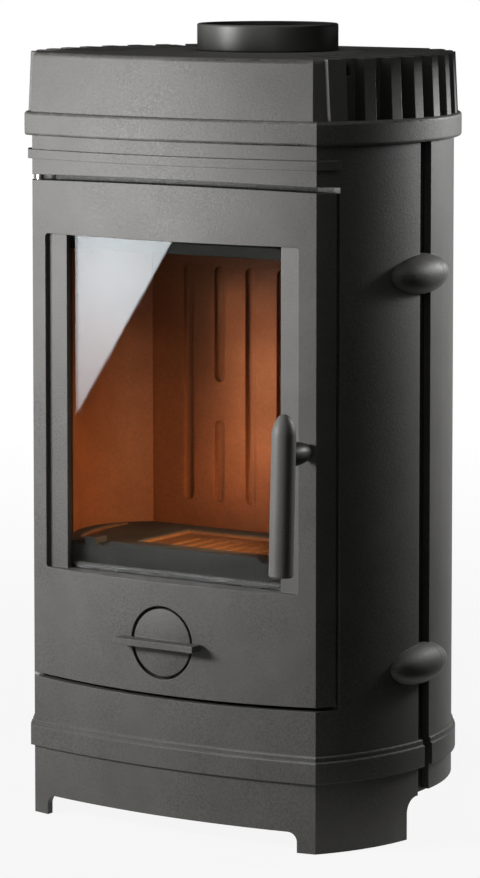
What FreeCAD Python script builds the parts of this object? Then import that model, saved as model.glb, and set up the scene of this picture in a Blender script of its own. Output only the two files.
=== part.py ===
"""Free-standing cast-iron wood stove: a round body with a bowed front, a wrap-around glazed door
with a turning handle and an air control, and a finned warm-air cap with a flue collar.

The plan is one circle, the drum, cut by a flat back and by the large arc of the bowed front.
The drum's axis is the Z axis, the front looks along -Y and the feet stand on Z = 0.
"""
import FreeCAD, Part
import Sketcher
import math
import os
import re

# Driving dimensions: name, value in millimetres or degrees, meaning
SIZES = [
    ("drum_radius", 222, "outside radius of the round body"),
    ("bow_radius", 833, "radius of the bowed front in plan"),
    ("front_ratio", 0.687, "middle of the bowed front, as a share of the drum radius"),
    ("back_ratio", 0.8446, "flat back, as a share of the drum radius"),
    ("wall", 8, "thickness of the outer castings"),
    ("fit", 0.3, "gap between fixed castings"),
    ("running", 0.2, "radial clearance of pins and shafts"),
    ("front_end", 6, "how far in front of the axis the front casting ends"),
    ("seam_width", 22, "width of the side seam between the castings"),
    ("lap_depth", 8, "thickness of the lap behind the seam"),
    ("lap_ahead", 24, "how far the lap is backed inside the front casting"),
    ("lap_behind", 14, "how far the lap reaches inside the rear casting"),
    ("front_arch", 21, "height of the arch between the front feet"),
    ("side_arch", 43, "height of the arch behind the front feet"),
    ("rear_arch", 46, "height of the rear skirt above the floor"),
    ("front_foot", 20, "width of a front foot across the front face"),
    ("side_foot", 108, "length of a front foot along the side"),
    ("rear_foot", 90, "width of the rear foot"),
    ("arch_round", 16, "radius at the front ends of the side arches"),
    ("front_round", 10, "radius at the ends of the front arch"),
    ("band_low", 72.8, "underside of the base band"),
    ("band_high", 95.5, "top of the base band"),
    ("band_grow", 4.2, "how far the base band stands out"),
    ("bead_high", 101, "top of the bead above the base band"),
    ("bead_grow", 2, "how far the bead stands out"),
    ("band_overhang", 6, "base band beyond the end of the front casting"),
    ("band_round", 1.6, "rounding of the band edges"),
    ("panel_top", 147, "top of the lower front panel at the corners"),
    ("door_gap_high", 6, "gap above the door"),
    ("rib_drop", 24.4, "underside of the fascia rib below the top of the castings"),
    ("rib_height", 9.6, "height of the fascia rib"),
    ("rib_grow", 4.5, "how far the rib stands out"),
    ("rib_return", 19.1, "length of the rib round the corner"),
    ("fascia_height", 41.4, "height of the fascia above the door"),
    ("pod_length", 100, "length of a bolt pod"),
    ("pod_height", 43, "height of a bolt pod"),
    ("pod_out", 17, "how far a pod stands out of the drum"),
    ("pod_root", 6, "how far the middle of a pod lies inside the drum"),
    ("pod_ahead", 1, "middle of a pod in front of the axis"),
    ("pod_low", 181, "height of the lower pods"),
    ("pod_drop", 136.4, "upper pods below the top of the castings"),
    ("stud_radius", 4, "radius of the tie studs"),
    ("stud_length", 62, "length of the tie studs"),
    ("cap_band_height", 24.6, "height of the cap band"),
    ("cap_band_grow", 8, "how far the cap band stands out"),
    ("cap_band_round", 3, "rounding of the cap band"),
    ("hood_height", 87.1, "height of the cap"),
    ("hood_grow", 2, "hood side beyond the drum, at its foot"),
    ("hood_front", 4.6, "hood front beyond the bow, at its foot"),
    ("hood_draft", 3.9, "taper of the hood over its height"),
    ("hood_round", 5, "rounding of the hood's top edge"),
    ("hood_plate", 8, "thickness of the hood's top plate"),
    ("fin_grow", 5, "fins beyond the drum, at their foot"),
    ("fin_return", 8.7, "plain hood between the corner and the fins"),
    ("fin_angle", 9, "angle between slots"),
    ("fin_first_angle", -26, "angle of the first slot, from the side towards the back"),
    ("fin_count", 10, "slots on each side"),
    ("slot_width", 21, "width of a slot"),
    ("slot_floor", 16, "floor of the slots inside the drum radius"),
    ("vent_width", 12, "width of a slot where it runs on across the top plate"),
    ("vent_start", 128, "inner ends of the slots in the top plate, from the drum axis"),
    ("hood_inner", 22, "hood cavity inside the drum radius"),
    ("flue_inset", 86.7, "flue axis before the back of the firebox"),
    ("flue_radius", 75, "outside radius of the flue collar"),
    ("flue_wall", 4.5, "wall of the flue collar"),
    ("flue_rise", 28.5, "collar above the cap"),
    ("flue_step", 1, "step from the collar's neck to its spigot"),
    ("flue_lip", 2, "rounding of the collar's rim"),
    ("flue_gap", 0.8, "gap between the collar and the cap"),
    ("flange_width", 21, "flange beyond the collar"),
    ("flange_height", 8, "thickness of the collar's flange"),
    ("gasket_height", 2, "thickness of the collar's gasket"),
    ("flange_bolts", 4, "bolts on the flange"),
    ("bolt_out", 11, "bolt circle beyond the collar"),
    ("bolt_angle", 45, "angle of the first bolt"),
    ("bolt_radius", 3, "radius of the flange bolts"),
    ("bolt_head", 5.5, "radius of the bolt heads"),
    ("bolt_head_height", 5, "height of the bolt heads"),
    ("pit_rise", 23, "top of the ash-pit floor above the lower panel"),
    ("plate", 8, "thickness of the inner plates"),
    ("lug", 14, "size of the lugs under the ash-pit floor"),
    ("lug_front", 72, "front lugs before the axis"),
    ("lug_rear", 110, "rear lugs behind the axis"),
    ("jacket", 20, "warm-air jacket and wall, drum to firebox"),
    ("firebox_wall", 6, "thickness of the firebox wall"),
    ("firebox_inset", 53.5, "back of the firebox before the flat back"),
    ("roof_drop", 32.4, "underside of the firebox top below the top of the castings"),
    ("hearth_rise", 26, "top of the hearth above the window recess's sill"),
    ("hearth_inset", 46.5, "front edge of the hearth behind the bowed front"),
    ("hearth_depth", 14, "thickness of the hearth plate"),
    ("arch_inset", 22, "arched channel of the hearth inside the firebox wall"),
    ("arch_width", 15, "width of the arched channel"),
    ("arch_depth", 4, "depth of the arched channel"),
    ("well_depth", 5, "how far the grate lies below the hearth"),
    ("grate_half", 85, "half width of the grate"),
    ("grate_inset", 31, "front of the grate behind the hearth's edge"),
    ("grate_gap", 21, "back of the grate before the fireback"),
    ("grate_lip", 6, "ledge that carries the grate"),
    ("grate_depth", 5, "thickness of the grate's rim"),
    ("grate_slots", 7, "slots in the grate"),
    ("grate_slot", 9, "width of a grate slot"),
    ("pan_side", 26, "ash pan inside the opening's edge"),
    ("pan_inset", 48.5, "front of the ash pan behind the bowed front"),
    ("pan_gap", 10, "back of the ash pan before the fireback"),
    ("pan_height", 92, "height of the ash pan"),
    ("pan_wall", 2, "thickness of the ash pan"),
    ("fireback_ratio", 0.2072, "front face of the fireback, as a share of the drum radius"),
    ("fireback_depth", 18, "thickness of the fireback"),
    ("fireback_side", 8, "fireback inside the liners' ends"),
    ("smoke_gap", 92, "top of the fireback below the firebox top"),
    ("groove_width", 13, "width of a fireback groove"),
    ("groove_depth", 5, "depth of a fireback groove"),
    ("groove_pitch", 40, "distance between grooves"),
    ("groove_drop", 22, "top of the grooves below the top of the fireback"),
    ("groove_rise", 28, "bottom of the grooves above the hearth"),
    ("groove_short", 89, "length of the lower short grooves"),
    ("groove_break", 42, "break between the short grooves"),
    ("liner_bulge", 30.5, "liner's radius beyond half its length"),
    ("liner_depth", 8.5, "thickness of the side liners"),
    ("liner_gap", 0.8, "gap between a liner and the firebox wall"),
    ("liner_cut", 37, "part of the liner's circle cut off at its front edge"),
    ("liner_ratio", 0.3739, "front edge of the liners, as a share of the drum radius"),
    ("baffle_side", 34, "baffle inside the drum at each side"),
    ("baffle_inset", 90.5, "front edge of the baffle behind the bowed front"),
    ("baffle_depth", 12, "thickness of the baffle"),
    ("guard_gap", 3, "guard inside the opening's edge"),
    ("guard_lift", 2, "underside of the log guard above the sill"),
    ("guard_height", 22, "height of the log guard at its ends"),
    ("guard_rise", 5.5, "rise of the guard's middle"),
    ("guard_end", 51, "length of the guard's low ends"),
    ("guard_slope", 8, "width of the guard's sloping shoulders"),
    ("guard_depth", 6, "thickness of the log guard"),
    ("guard_hook", 14, "length and width of the guard's hooks"),
    ("hook_inset", 25, "hooks inside the guard's ends"),
    ("door_gap_low", 4.4, "gap below the door"),
    ("door_height", 523.6, "height of the door at the corners"),
    ("door_sag", 2.7, "rise of the door's top and bottom arcs"),
    ("door_depth", 20, "thickness of the door"),
    ("lip_length", 18.4, "depth of the door's lips behind the corners"),
    ("lip_gap", 3.5, "gap behind the door's lips"),
    ("seat_gap", 4, "gap between the door and its seat"),
    ("seat_side", 31.4, "seat beside its opening"),
    ("seat_head", 25, "seat above its opening, below the door's top"),
    ("window_side", 19.4, "door beside the window recess"),
    ("window_sill", 114.6, "door below the window recess"),
    ("window_head", 55, "door above the window recess"),
    ("window_depth", 20.5, "depth of the window recess at its middle"),
    ("window_round", 4, "rounding of the recess corners"),
    ("pillar", 24, "width of the pillars beside the glass"),
    ("glass_step", 6, "glass seat behind the floor of the recess"),
    ("glass_overlap", 7, "glass behind the pillars and rails"),
    ("glass_rail", 12, "glass above and below the window"),
    ("glass_depth", 4, "thickness of the glass"),
    ("glass_pad", 1.5, "thickness of the glass seal"),
    ("seat_rim", 12, "rim round the glass at the back of the door"),
    ("clip_inset", 51, "clips inside the glass's edge"),
    ("clip_width", 22, "width of a glass clip"),
    ("clip_depth", 2.5, "thickness of a glass clip"),
    ("screw_radius", 2, "radius of the small screws"),
    ("screw_head", 4, "radius of the small screw heads"),
    ("screw_head_depth", 2.5, "height of the small screw heads"),
    ("rope", 8, "width of the rope seal"),
    ("rope_side", 24.4, "middle of the rope seal inside the corners"),
    ("rope_margin", 10, "rope seal inside the door's top and bottom"),
    ("rope_groove", 4, "depth of the rope's groove"),
    ("hinge_side", 1.4, "hinge axis inside the corner"),
    ("hinge_back", 11.4, "hinge axis behind the corner"),
    ("hinge_pin", 4, "radius of the hinge pins"),
    ("hinge_hole", 14, "depth of the hinge holes in the door"),
    ("hinge_relief", 16.9, "radius cleared round the hinge in the front casting"),
    ("ledge", 12, "thickness of the ledges above and below the door"),
    ("knob_rise", 51.6, "air control above the door's bottom"),
    ("knob_hole", 38.5, "radius of the hole round the air control"),
    ("knob_radius", 35.3, "radius of the air disc"),
    ("knob_dome", 3, "rise of the air disc's dome"),
    ("knob_depth", 8, "thickness of the air disc's edge"),
    ("blade_half", 49.5, "half length of the air control's blade"),
    ("blade_height", 6.8, "thickness of the blade"),
    ("blade_out", 16.2, "how far the blade stands before the door"),
    ("blade_lift", 1.2, "gap between the blade's ends and the door"),
    ("web", 6, "thickness of the air web in the door"),
    ("port_radius", 11, "radius of the air ports"),
    ("port_x", 21, "air ports beside the air control's axis"),
    ("spindle", 5, "radius of the air spindle"),
    ("spring_depth", 2, "thickness of the spring washer"),
    ("shutter_depth", 2, "thickness of the air shutter"),
    ("washer_radius", 8, "radius of the spring washer and the hinge washer"),
    ("nut_radius", 9, "radius over the corners of the nuts"),
    ("nut_depth", 5, "height of the nuts"),
    ("handle_side", 9.9, "handle inside the corner"),
    ("handle_rise", 0.4, "handle's pivot above the middle of the door"),
    ("handle_out", 26.2, "handle bar before the bowed front, at the pivot"),
    ("handle_radius", 12.5, "radius of the handle bar"),
    ("handle_below", 122, "handle bar below the pivot"),
    ("handle_above", 42.4, "handle bar above the pivot, to the tip"),
    ("handle_nose", 22, "length of the bar's rounded nose"),
    ("handle_tip", 8, "radius of the nose's tip"),
    ("handle_tilt", 2, "lean of the bar, lower end outwards"),
    ("handle_edge", 1.5, "chamfer at the bar's lower end"),
    ("stem_radius", 12, "radius of the round stem"),
    ("stem_neck", 8, "radius of the stem's ends"),
    ("stem_gap", 2.5, "gap between the stem and the door, at its middle"),
    ("sleeve_radius", 9, "radius of the latch sleeve and the tongue's boss"),
    ("shaft_radius", 6, "radius of the latch shaft"),
    ("box_depth", 22, "depth of the latch box behind the seat"),
    ("box_half", 19, "half height of the latch pocket"),
    ("box_left", 12, "latch pocket left of the shaft"),
    ("box_right", 16.5, "latch pocket right of the shaft"),
    ("box_wall", 4, "wall of the latch box"),
    ("tongue_depth", 6, "thickness of the latch tongue"),
    ("tongue_gap", 1.2, "gap between the latch tongue and the seat"),
    ("tongue_width", 12, "width of the latch tongue"),
    ("tongue_reach", 12.8, "latch shaft to the tip of the tongue"),
    ("keeper_depth", 3, "thickness of the keeper"),
    ("keeper_half", 14, "half height of the keeper"),
    ("keeper_length", 8, "length of the keeper"),
]
# Places that follow from the driving dimensions: name, formula, meaning
PLACES = [
    ("front_reach", "drum_radius * front_ratio", "drum axis to the middle of the bowed front"),
    ("back_reach", "drum_radius * back_ratio", "drum axis to the flat back"),
    ("bow_y", "bow_radius - front_reach", "centre of the bow behind the drum axis"),
    ("corner_y", "(drum_radius ^ 2 - bow_radius ^ 2 + bow_y ^ 2) / (2 * bow_y)",
     "front corners, behind the axis where positive"),
    ("corner_x", "sqrt(drum_radius ^ 2 - corner_y ^ 2)", "front corners beside the axis"),
    ("arc_radius", "corner_x ^ 2 / (2 * door_sag)", "radius of the door's top and bottom arcs"),
    ("rear_start", "seam_width - front_end", "front end of the rear casting behind the axis"),
    ("door_low", "panel_top + door_gap_low", "bottom of the door at the corners"),
    ("door_high", "door_low + door_height", "top of the door at the corners"),
    ("fascia_low", "door_high + door_gap_high", "underside of the fascia at the corners"),
    ("shell_top", "fascia_low + fascia_height", "top of the outer castings"),
    ("rib_low", "shell_top - rib_drop", "underside of the fascia rib"),
    ("rib_high", "rib_low + rib_height", "top of the fascia rib"),
    ("rib_end", "-corner_y - rib_return", "end of the rib before the axis"),
    ("pod_high", "shell_top - pod_drop", "height of the upper pods"),
    ("cap_band_high", "shell_top + cap_band_height", "top of the cap band"),
    ("hood_top", "shell_top + hood_height", "top of the cap"),
    ("fin_start", "-corner_y - fin_return", "front end of the fins before the axis"),
    ("firebox_back", "back_reach - firebox_inset", "back of the firebox behind the axis"),
    ("firebox_top_low", "shell_top - roof_drop", "underside of the firebox top"),
    ("flue_y", "firebox_back - flue_inset", "flue axis behind the drum axis"),
    ("flue_top", "hood_top + flue_rise", "top of the flue collar"),
    ("bolt_circle", "flue_radius + bolt_out", "radius of the bolt circle"),
    ("flange_radius", "flue_radius + flange_width", "radius of the collar's flange"),
    ("flange_low", "firebox_top_low + plate + gasket_height", "underside of the collar's flange"),
    ("base_top", "panel_top + pit_rise", "top of the ash-pit floor"),
    ("window_half", "corner_x - window_side", "half width of the window recess"),
    ("window_low", "door_low + window_sill", "bottom of the window recess"),
    ("window_high", "door_high - window_head", "top of the window recess"),
    ("window_floor", "front_reach - window_depth", "flat floor of the recess before the axis"),
    ("glass_half", "window_half - pillar + glass_overlap", "half width of the glass"),
    ("glass_seat", "window_floor - glass_step", "face that the glass is pressed on, before the axis"),
    ("glass_back", "glass_seat - glass_pad - glass_depth", "back of the glass before the axis"),
    ("clip_x", "glass_half - clip_inset", "clips beside the axis"),
    ("seat", "door_depth + seat_gap", "depth of the door's seat"),
    ("seat_half", "corner_x - seat_side", "half width of the opening in the seat"),
    ("seat_high", "door_high - seat_head", "top of the opening in the seat"),
    ("door_lip", "-corner_y - lip_length", "end of the door's lips before the axis"),
    ("door_back", "front_reach - door_depth", "middle of the door's back before the axis"),
    ("rope_half", "corner_x - rope_side", "rope seal beside the axis, to its middle"),
    ("hinge_x", "corner_x - hinge_side", "hinge axis left of the drum axis"),
    ("hinge_y", "-corner_y - hinge_back", "hinge axis before the drum axis"),
    ("knob_z", "door_low + knob_rise", "height of the air control"),
    ("handle_x", "corner_x - handle_side", "handle beside the axis"),
    ("handle_z", "(door_low + door_high) / 2 + handle_rise", "height of the handle's pivot"),
    ("handle_y", "front_reach + handle_out", "handle bar before the axis, at the pivot"),
    ("fireback_y", "drum_radius * fireback_ratio", "front face of the fireback behind the axis"),
    ("hearth_top", "window_low + hearth_rise", "top of the hearth plate"),
    ("hearth_low", "hearth_top - hearth_depth", "underside of the hearth plate"),
    ("grate_low", "hearth_top - well_depth - grate_depth", "ledge that the grate lies on"),
    ("firebox_inside", "drum_radius - jacket - firebox_wall", "inside radius of the firebox"),
    ("arch_radius", "firebox_inside - arch_inset", "outside of the hearth's arched channel"),
    ("hearth_front", "front_reach - hearth_inset", "front edge of the hearth before the axis"),
    ("grate_front", "hearth_front - grate_inset", "front of the grate before the axis"),
    ("grate_back", "fireback_y - grate_gap", "back of the grate behind the axis"),
    ("pan_half", "seat_half - pan_side", "half width of the ash pan"),
    ("pan_front", "front_reach - pan_inset", "front of the ash pan before the axis"),
    ("pan_back", "fireback_y - pan_gap", "back of the ash pan behind the axis"),
    ("fireback_top", "firebox_top_low - smoke_gap", "top of the fireback and the liners"),
    ("groove_top", "fireback_top - groove_drop", "top of the grooves"),
    ("groove_low", "hearth_top + groove_rise", "bottom of the grooves"),
    ("groove_split_low", "groove_low + groove_short", "lower end of the break in the short grooves"),
    ("groove_split_high", "groove_split_low + groove_break", "upper end of the break in the short grooves"),
    ("liner_front", "drum_radius * liner_ratio", "front edge of the liners before the axis"),
    ("liner_radius", "(liner_front + fireback_y) / 2 + liner_bulge", "outside radius of the side liners"),
    ("liner_y", "liner_front + liner_cut - liner_radius", "centre of a liner's curve before the axis"),
    ("liner_x", "sqrt((firebox_inside - liner_gap - liner_radius) ^ 2 - liner_y ^ 2)",
     "centre of a liner's curve beside the axis"),
    ("liner_end", "liner_x + sqrt(liner_radius ^ 2 - (fireback_y + liner_y) ^ 2)",
     "outer end of a liner beside the axis, at the fireback"),
    ("fireback_half", "liner_end - fireback_side", "half width of the fireback"),
    ("baffle_half", "drum_radius - baffle_side", "half width of the baffle"),
    ("baffle_front", "front_reach - baffle_inset", "front edge of the baffle before the axis"),
    ("guard_half", "seat_half - guard_gap", "half width of the log guard"),
    ("guard_low", "window_low + guard_lift", "underside of the log guard"),
    ("guard_side", "guard_low + guard_height", "top of the log guard at its ends"),
    ("guard_high", "guard_side + guard_rise", "top of the log guard in the middle"),
    ("guard_middle", "guard_half - guard_end", "half width of the raised middle"),
    ("hook_x", "guard_half - hook_inset", "hooks beside the axis"),
]
NAMES = [row[0] for row in SIZES + PLACES]

doc = FreeCAD.newDocument("wood_stove")
sheet = doc.addObject("Spreadsheet::Sheet", "Sizes")
PLACE_ROWS = [(name, "=" + text, note) for name, text, note in PLACES]
for row, (name, content, note) in enumerate(SIZES + PLACE_ROWS, 1):
    sheet.set(f"A{row}", name)
    sheet.set(f"B{row}", str(content))
    sheet.set(f"C{row}", note)
    sheet.setAlias(f"B{row}", name)
doc.recompute()

# Cutting tools run this far past what they cut
PAST = "10"
# Larger than the stove in every direction
FAR = "(4 * drum_radius)"


def formula(text):
    """Spell the sheet's names in a formula the way the document's expressions need them."""
    return re.sub(r"[a-z_]+", lambda word: "Sizes." + word[0] if word[0] in NAMES else word[0], text)


def value(text):
    """The number that a formula gives now."""
    return float(sheet.evalExpression(formula(text)))


def bind(piece, cells):
    """Tie properties of an object to formulas."""
    for cell, text in cells.items():
        piece.setExpression(cell, formula(text))
    return piece


def at(piece, x, y, z):
    """Tie an object's place to formulas."""
    return bind(piece, {"Placement.Base.x": x, "Placement.Base.y": y, "Placement.Base.z": z})


def block(name, x, y, z):
    """A box between pairs of formulas."""
    piece = doc.addObject("Part::Box", name)
    sides = {"Length": x, "Width": y, "Height": z}
    bind(piece, {side: f"({high}) - ({low})" for side, (low, high) in sides.items()})
    return at(piece, x[0], y[0], z[0])


def post(name, radius, z, x="0", y="0", top_radius=None):
    """An upright cylinder, or a cone where the top has a radius of its own."""
    height = f"({z[1]}) - ({z[0]})"
    if top_radius is None:
        piece = doc.addObject("Part::Cylinder", name)
        bind(piece, {"Radius": radius, "Height": height})
    else:
        piece = doc.addObject("Part::Cone", name)
        bind(piece, {"Radius1": radius, "Radius2": top_radius, "Height": height})
    return at(piece, x, y, z[0])


def rod(name, radius, y, x="0", z="0"):
    """A cylinder that runs from front to back."""
    piece = doc.addObject("Part::Cylinder", name)
    piece.Placement.Rotation = FreeCAD.Rotation(FreeCAD.Vector(1, 0, 0), -90)
    bind(piece, {"Radius": radius, "Height": f"({y[1]}) - ({y[0]})"})
    return at(piece, x, y[0], z)


def fuse(name, pieces):
    joined = doc.addObject("Part::MultiFuse", name)
    joined.Shapes = pieces
    joined.Refine = True
    return joined


def common(name, pieces):
    shared = doc.addObject("Part::MultiCommon", name)
    shared.Shapes = pieces
    return shared


def cut(name, base, tools):
    rest = doc.addObject("Part::Cut", name)
    rest.Base = base
    rest.Tool = tools[0] if len(tools) == 1 else fuse(name + "_tools", tools)
    rest.Refine = True
    return rest


def soften(name, base, radius, picks):
    """Round the edges of a piece that a test picks."""
    doc.recompute()
    rounded = doc.addObject("Part::Fillet", name)
    rounded.Base = base
    size = value(radius)
    numbers = [n for n, edge in enumerate(base.Shape.Edges, 1) if picks(edge)]
    rounded.Edges = [(n, size, size) for n in numbers]
    return rounded


def level(*heights, along=None, y=None):
    """A test for edges at some heights, if asked only those along one axis or at one depth."""
    targets = [value(height) for height in heights]
    depth = None if y is None else value(y)

    def picks(edge):
        first, last = edge.Vertexes[0].Point, edge.Vertexes[-1].Point
        run = last.sub(first)
        if abs(run.z) > 0.01 or min(abs(first.z - target) for target in targets) > 0.01:
            return False
        if along is not None and abs(abs(run.dot(along)) - run.Length) > 0.01:
            return False
        return depth is None or abs(first.y - depth) < 0.01
    return picks


def section(name, grow, z, bow=None, back=None, top_grow=None, top_bow=None):
    """The stove's plan as a solid: the drum, cut by the bowed front and by the flat back."""
    bow = grow if bow is None else bow
    back = f"back_reach + {grow}" if back is None else back
    top_radius = None if top_grow is None else f"drum_radius + {top_grow}"
    top_bow_radius = None if top_bow is None else f"bow_radius + {top_bow}"
    drum = post(name + "_drum", f"drum_radius + {grow}", z, top_radius=top_radius)
    front = post(name + "_bow", f"bow_radius + {bow}", z, "0", "bow_radius - front_reach", top_bow_radius)
    flat = block(name + "_flat", (f"-{FAR}", FAR), (f"-{FAR}", back), z)
    return common(name, [drum, front, flat])


def ring(name, outer, inner, z):
    """A wall that follows the plan."""
    low, high = z
    hollow = section(name + "_hollow", inner, (f"{low} - {PAST}", f"{high} + {PAST}"))
    return cut(name, section(name + "_full", outer, z), [hollow])


def crescent(name, front, back, z):
    """A bowed slab across the front, between two offsets of the bow."""
    low, high = z
    behind = section(name + "_behind", PAST, (f"{low} - {PAST}", f"{high} + {PAST}"), bow=back)
    return cut(name, section(name + "_full", "0", z, bow=front), [behind])


def ahead(name, piece, y):
    """The part of a piece that lies in front of a plane across the stove."""
    return common(name, [piece, block(name + "_keep", (f"-{FAR}", FAR), (f"-{FAR}", y), (f"-{FAR}", FAR))])


def behind(name, piece, y):
    """The part of a piece that lies behind a plane across the stove."""
    return common(name, [piece, block(name + "_keep", (f"-{FAR}", FAR), (y, FAR), (f"-{FAR}", FAR))])


def outline(body, plane, points, name):
    """A closed sketch whose corners are tied to formulas.

    A corner is a pair of formulas, with the radius of a bulging arc to the next corner as a third.
    """
    sketch = body.newObject("Sketcher::SketchObject", name)
    origin = [part for part in body.Origin.OriginFeatures if part.Role == plane]
    sketch.AttachmentSupport = [(origin[0], "")]
    sketch.MapMode = "FlatFace"
    corners = [FreeCAD.Vector(value(corner[0]), value(corner[1]), 0) for corner in points]
    count = len(corners)
    for n, corner in enumerate(points):
        start, end = corners[n], corners[(n + 1) % count]
        if len(corner) > 2:
            sketch.addGeometry(bulge(start, end, value(corner[2])))
        else:
            sketch.addGeometry(Part.LineSegment(start, end))
    for n in range(count):
        sketch.addConstraint(Sketcher.Constraint("Coincident", n, 2, (n + 1) % count, 1))
    for n, corner in enumerate(points):
        if len(corner) > 2:
            index = sketch.addConstraint(Sketcher.Constraint("Radius", n, value(corner[2])))
            sketch.setExpression(f"Constraints[{index}]", formula(corner[2]))
        for kind, text, axis in (("DistanceX", corner[0], -2), ("DistanceY", corner[1], -1)):
            if text == "0":
                sketch.addConstraint(Sketcher.Constraint("PointOnObject", n, 1, axis))
            else:
                index = sketch.addConstraint(Sketcher.Constraint(kind, -1, 1, n, 1, value(text)))
                sketch.setExpression(f"Constraints[{index}]", formula(text))
    return sketch


def bulge(start, end, radius):
    """An arc that leaves the outline's straight chord on its right, so outlines run anticlockwise."""
    chord = end.sub(start)
    half = chord.Length / 2
    side = FreeCAD.Vector(-chord.y, chord.x, 0).normalize()
    centre = start.add(chord * 0.5).add(side * math.sqrt(radius * radius - half * half))
    first, last = start.sub(centre), end.sub(centre)
    circle = Part.Circle(centre, FreeCAD.Vector(0, 0, 1), radius)
    return Part.ArcOfCircle(circle, math.atan2(first.y, first.x), math.atan2(last.y, last.x))


def turned(name, points):
    """A turned piece: an outline of radius and height, revolved about the Z axis."""
    body = doc.addObject("PartDesign::Body", name)
    sketch = outline(body, "XZ_Plane", points, name + "_outline")
    turn = body.newObject("PartDesign::Revolution", name + "_turn")
    turn.Profile = sketch
    turn.ReferenceAxis = (sketch, ["V_Axis"])
    turn.Angle = 360
    return body


def padded(name, points, depth):
    """A plate cut to an outline in the front view, padded towards the back."""
    body = doc.addObject("PartDesign::Body", name)
    sketch = outline(body, "XZ_Plane", points, name + "_outline")
    pad = body.newObject("PartDesign::Pad", name + "_pad")
    pad.Profile = sketch
    pad.Reversed = True
    bind(pad, {"Length": depth})
    return body


def tube(name, outer, inner, y, x="0", z="0"):
    """A sleeve or washer that runs from front to back."""
    bore = rod(name + "_bore", inner, (f"{y[0]} - {PAST}", f"{y[1]} + {PAST}"), x, z)
    return cut(name, rod(name + "_body", outer, y, x, z), [bore])


def hexagon(name, radius, y, bore, x="0", z="0"):
    """A hexagon nut that runs from front to back."""
    piece = doc.addObject("Part::Prism", name + "_body")
    piece.Polygon = 6
    piece.Placement.Rotation = FreeCAD.Rotation(FreeCAD.Vector(1, 0, 0), -90)
    bind(piece, {"Circumradius": radius, "Height": f"({y[1]}) - ({y[0]})"})
    at(piece, x, y[0], z)
    return cut(name, piece, [rod(name + "_bore", bore, (f"{y[0]} - {PAST}", f"{y[1]} + {PAST}"), x, z)])


NODES = []


def node(piece, name):
    """Name a finished piece and put it on the list of nodes."""
    piece.Label = name
    NODES.append(piece)
    return piece


SIDES = (("left", "-1"), ("right", "1"))
ACROSS = FreeCAD.Vector(1, 0, 0)
DEPTH = FreeCAD.Vector(0, 1, 0)


def bow_at(x, inset="0"):
    """How far before the axis the bowed front is, beside the axis and inside its surface."""
    return f"(sqrt((bow_radius - ({inset})) ^ 2 - ({x}) ^ 2) - bow_y)"


def mirrored_pair(low, high):
    """The same span on the left and on the right."""
    return (("left", (f"-({high})", f"-({low})")), ("right", (low, high)))


def door_outline(name, low_gap, high_gap, bow, back):
    """A bowed slab with the door's arched top and bottom, grown by gaps at both."""
    slab = crescent(name + "_slab", bow, back, ("door_low - ledge", "door_high + ledge"))
    reach = (f"-{FAR}", FAR)
    low_z = "door_low - door_sag + arc_radius"
    high_z = "door_high + door_sag - arc_radius"
    low_arc = rod(name + "_low", f"arc_radius + {low_gap}", reach, z=low_z)
    high_arc = rod(name + "_high", f"arc_radius + {high_gap}", reach, z=high_z)
    return common(name, [slab, low_arc, high_arc])


def pods(name, keep, plane):
    """The end of each bolt pod that belongs to one casting."""
    inside = section(name + "_inside", "-wall / 2", (f"-{PAST}", f"shell_top + {PAST}"))
    shells = []
    for side, sign in SIDES:
        for height in ("pod_low", "pod_high"):
            pod = doc.addObject("Part::Ellipsoid", f"{name}_{side}_{height}")
            bind(pod, {"Radius1": "pod_height / 2", "Radius2": "pod_out + pod_root",
                       "Radius3": "pod_length / 2"})
            shells.append(at(pod, f"{sign} * (drum_radius - pod_root)", "-pod_ahead", height))
    whole = fuse(name + "_whole", shells)
    return keep(name, cut(name + "_outside", whole, [inside]), plane)


def studs(name):
    """Rods along the axes of the tie studs, through the pods and across the seam."""
    rods = []
    middle = "(rear_start - front_end) / 2"
    span = (f"{middle} - stud_length / 2", f"{middle} + stud_length / 2")
    for side, sign in SIDES:
        for height in ("pod_low", "pod_high"):
            x = f"{sign} * (drum_radius - wall / 2)"
            rods.append(rod(f"{name}_{side}_{height}", "stud_radius", span, x, height))
    return rods


def bands(name, keep, plane):
    """The base band with the bead above it, on one casting."""
    tiers = []
    for tier, grow, high in (("band", "band_grow", "band_high"), ("bead", "bead_grow", "bead_high")):
        full = section(f"{name}_{tier}_full", grow, ("band_low", high))
        rounded = soften(f"{name}_{tier}_round", full, "band_round", level(high))
        hollow = section(f"{name}_{tier}_hollow", "-wall / 2", (f"band_low - {PAST}", f"{high} + {PAST}"))
        tiers.append(cut(f"{name}_{tier}", rounded, [hollow]))
    return keep(name, fuse(name + "_tiers", tiers), plane)


def lugs(name, y):
    """Two lugs inside a casting that carry the ash-pit floor."""
    bars = []
    z = ("base_top - plate - lug", "base_top - plate")
    for side, sign in SIDES:
        middle = f"{sign} * sqrt((drum_radius - wall) ^ 2 - ({y}) ^ 2)"
        x = (f"{middle} - lug", f"{middle} + lug")
        bars.append(block(f"{name}_{side}", x, (f"{y} - lug", f"{y} + lug"), z))
    return common(name, [fuse(name + "_bars", bars), section(name + "_inside", "-wall / 2", z)])


def latch_space(name, grow, front):
    """The pocket behind the seat where the latch turns, grown by a wall and open to a plane in front."""
    x = (f"handle_x - box_left - ({grow})", f"handle_x + box_right + {grow}")
    y = (front, f"-{bow_at('handle_x', 'seat')} + box_depth + {grow}")
    return block(name, x, y, (f"handle_z - box_half - ({grow})", f"handle_z + box_half + {grow}"))


def door_bottom(x):
    """Height of the door's arched bottom beside the axis."""
    return f"(door_low - door_sag + arc_radius - sqrt(arc_radius ^ 2 - ({x}) ^ 2))"


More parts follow.
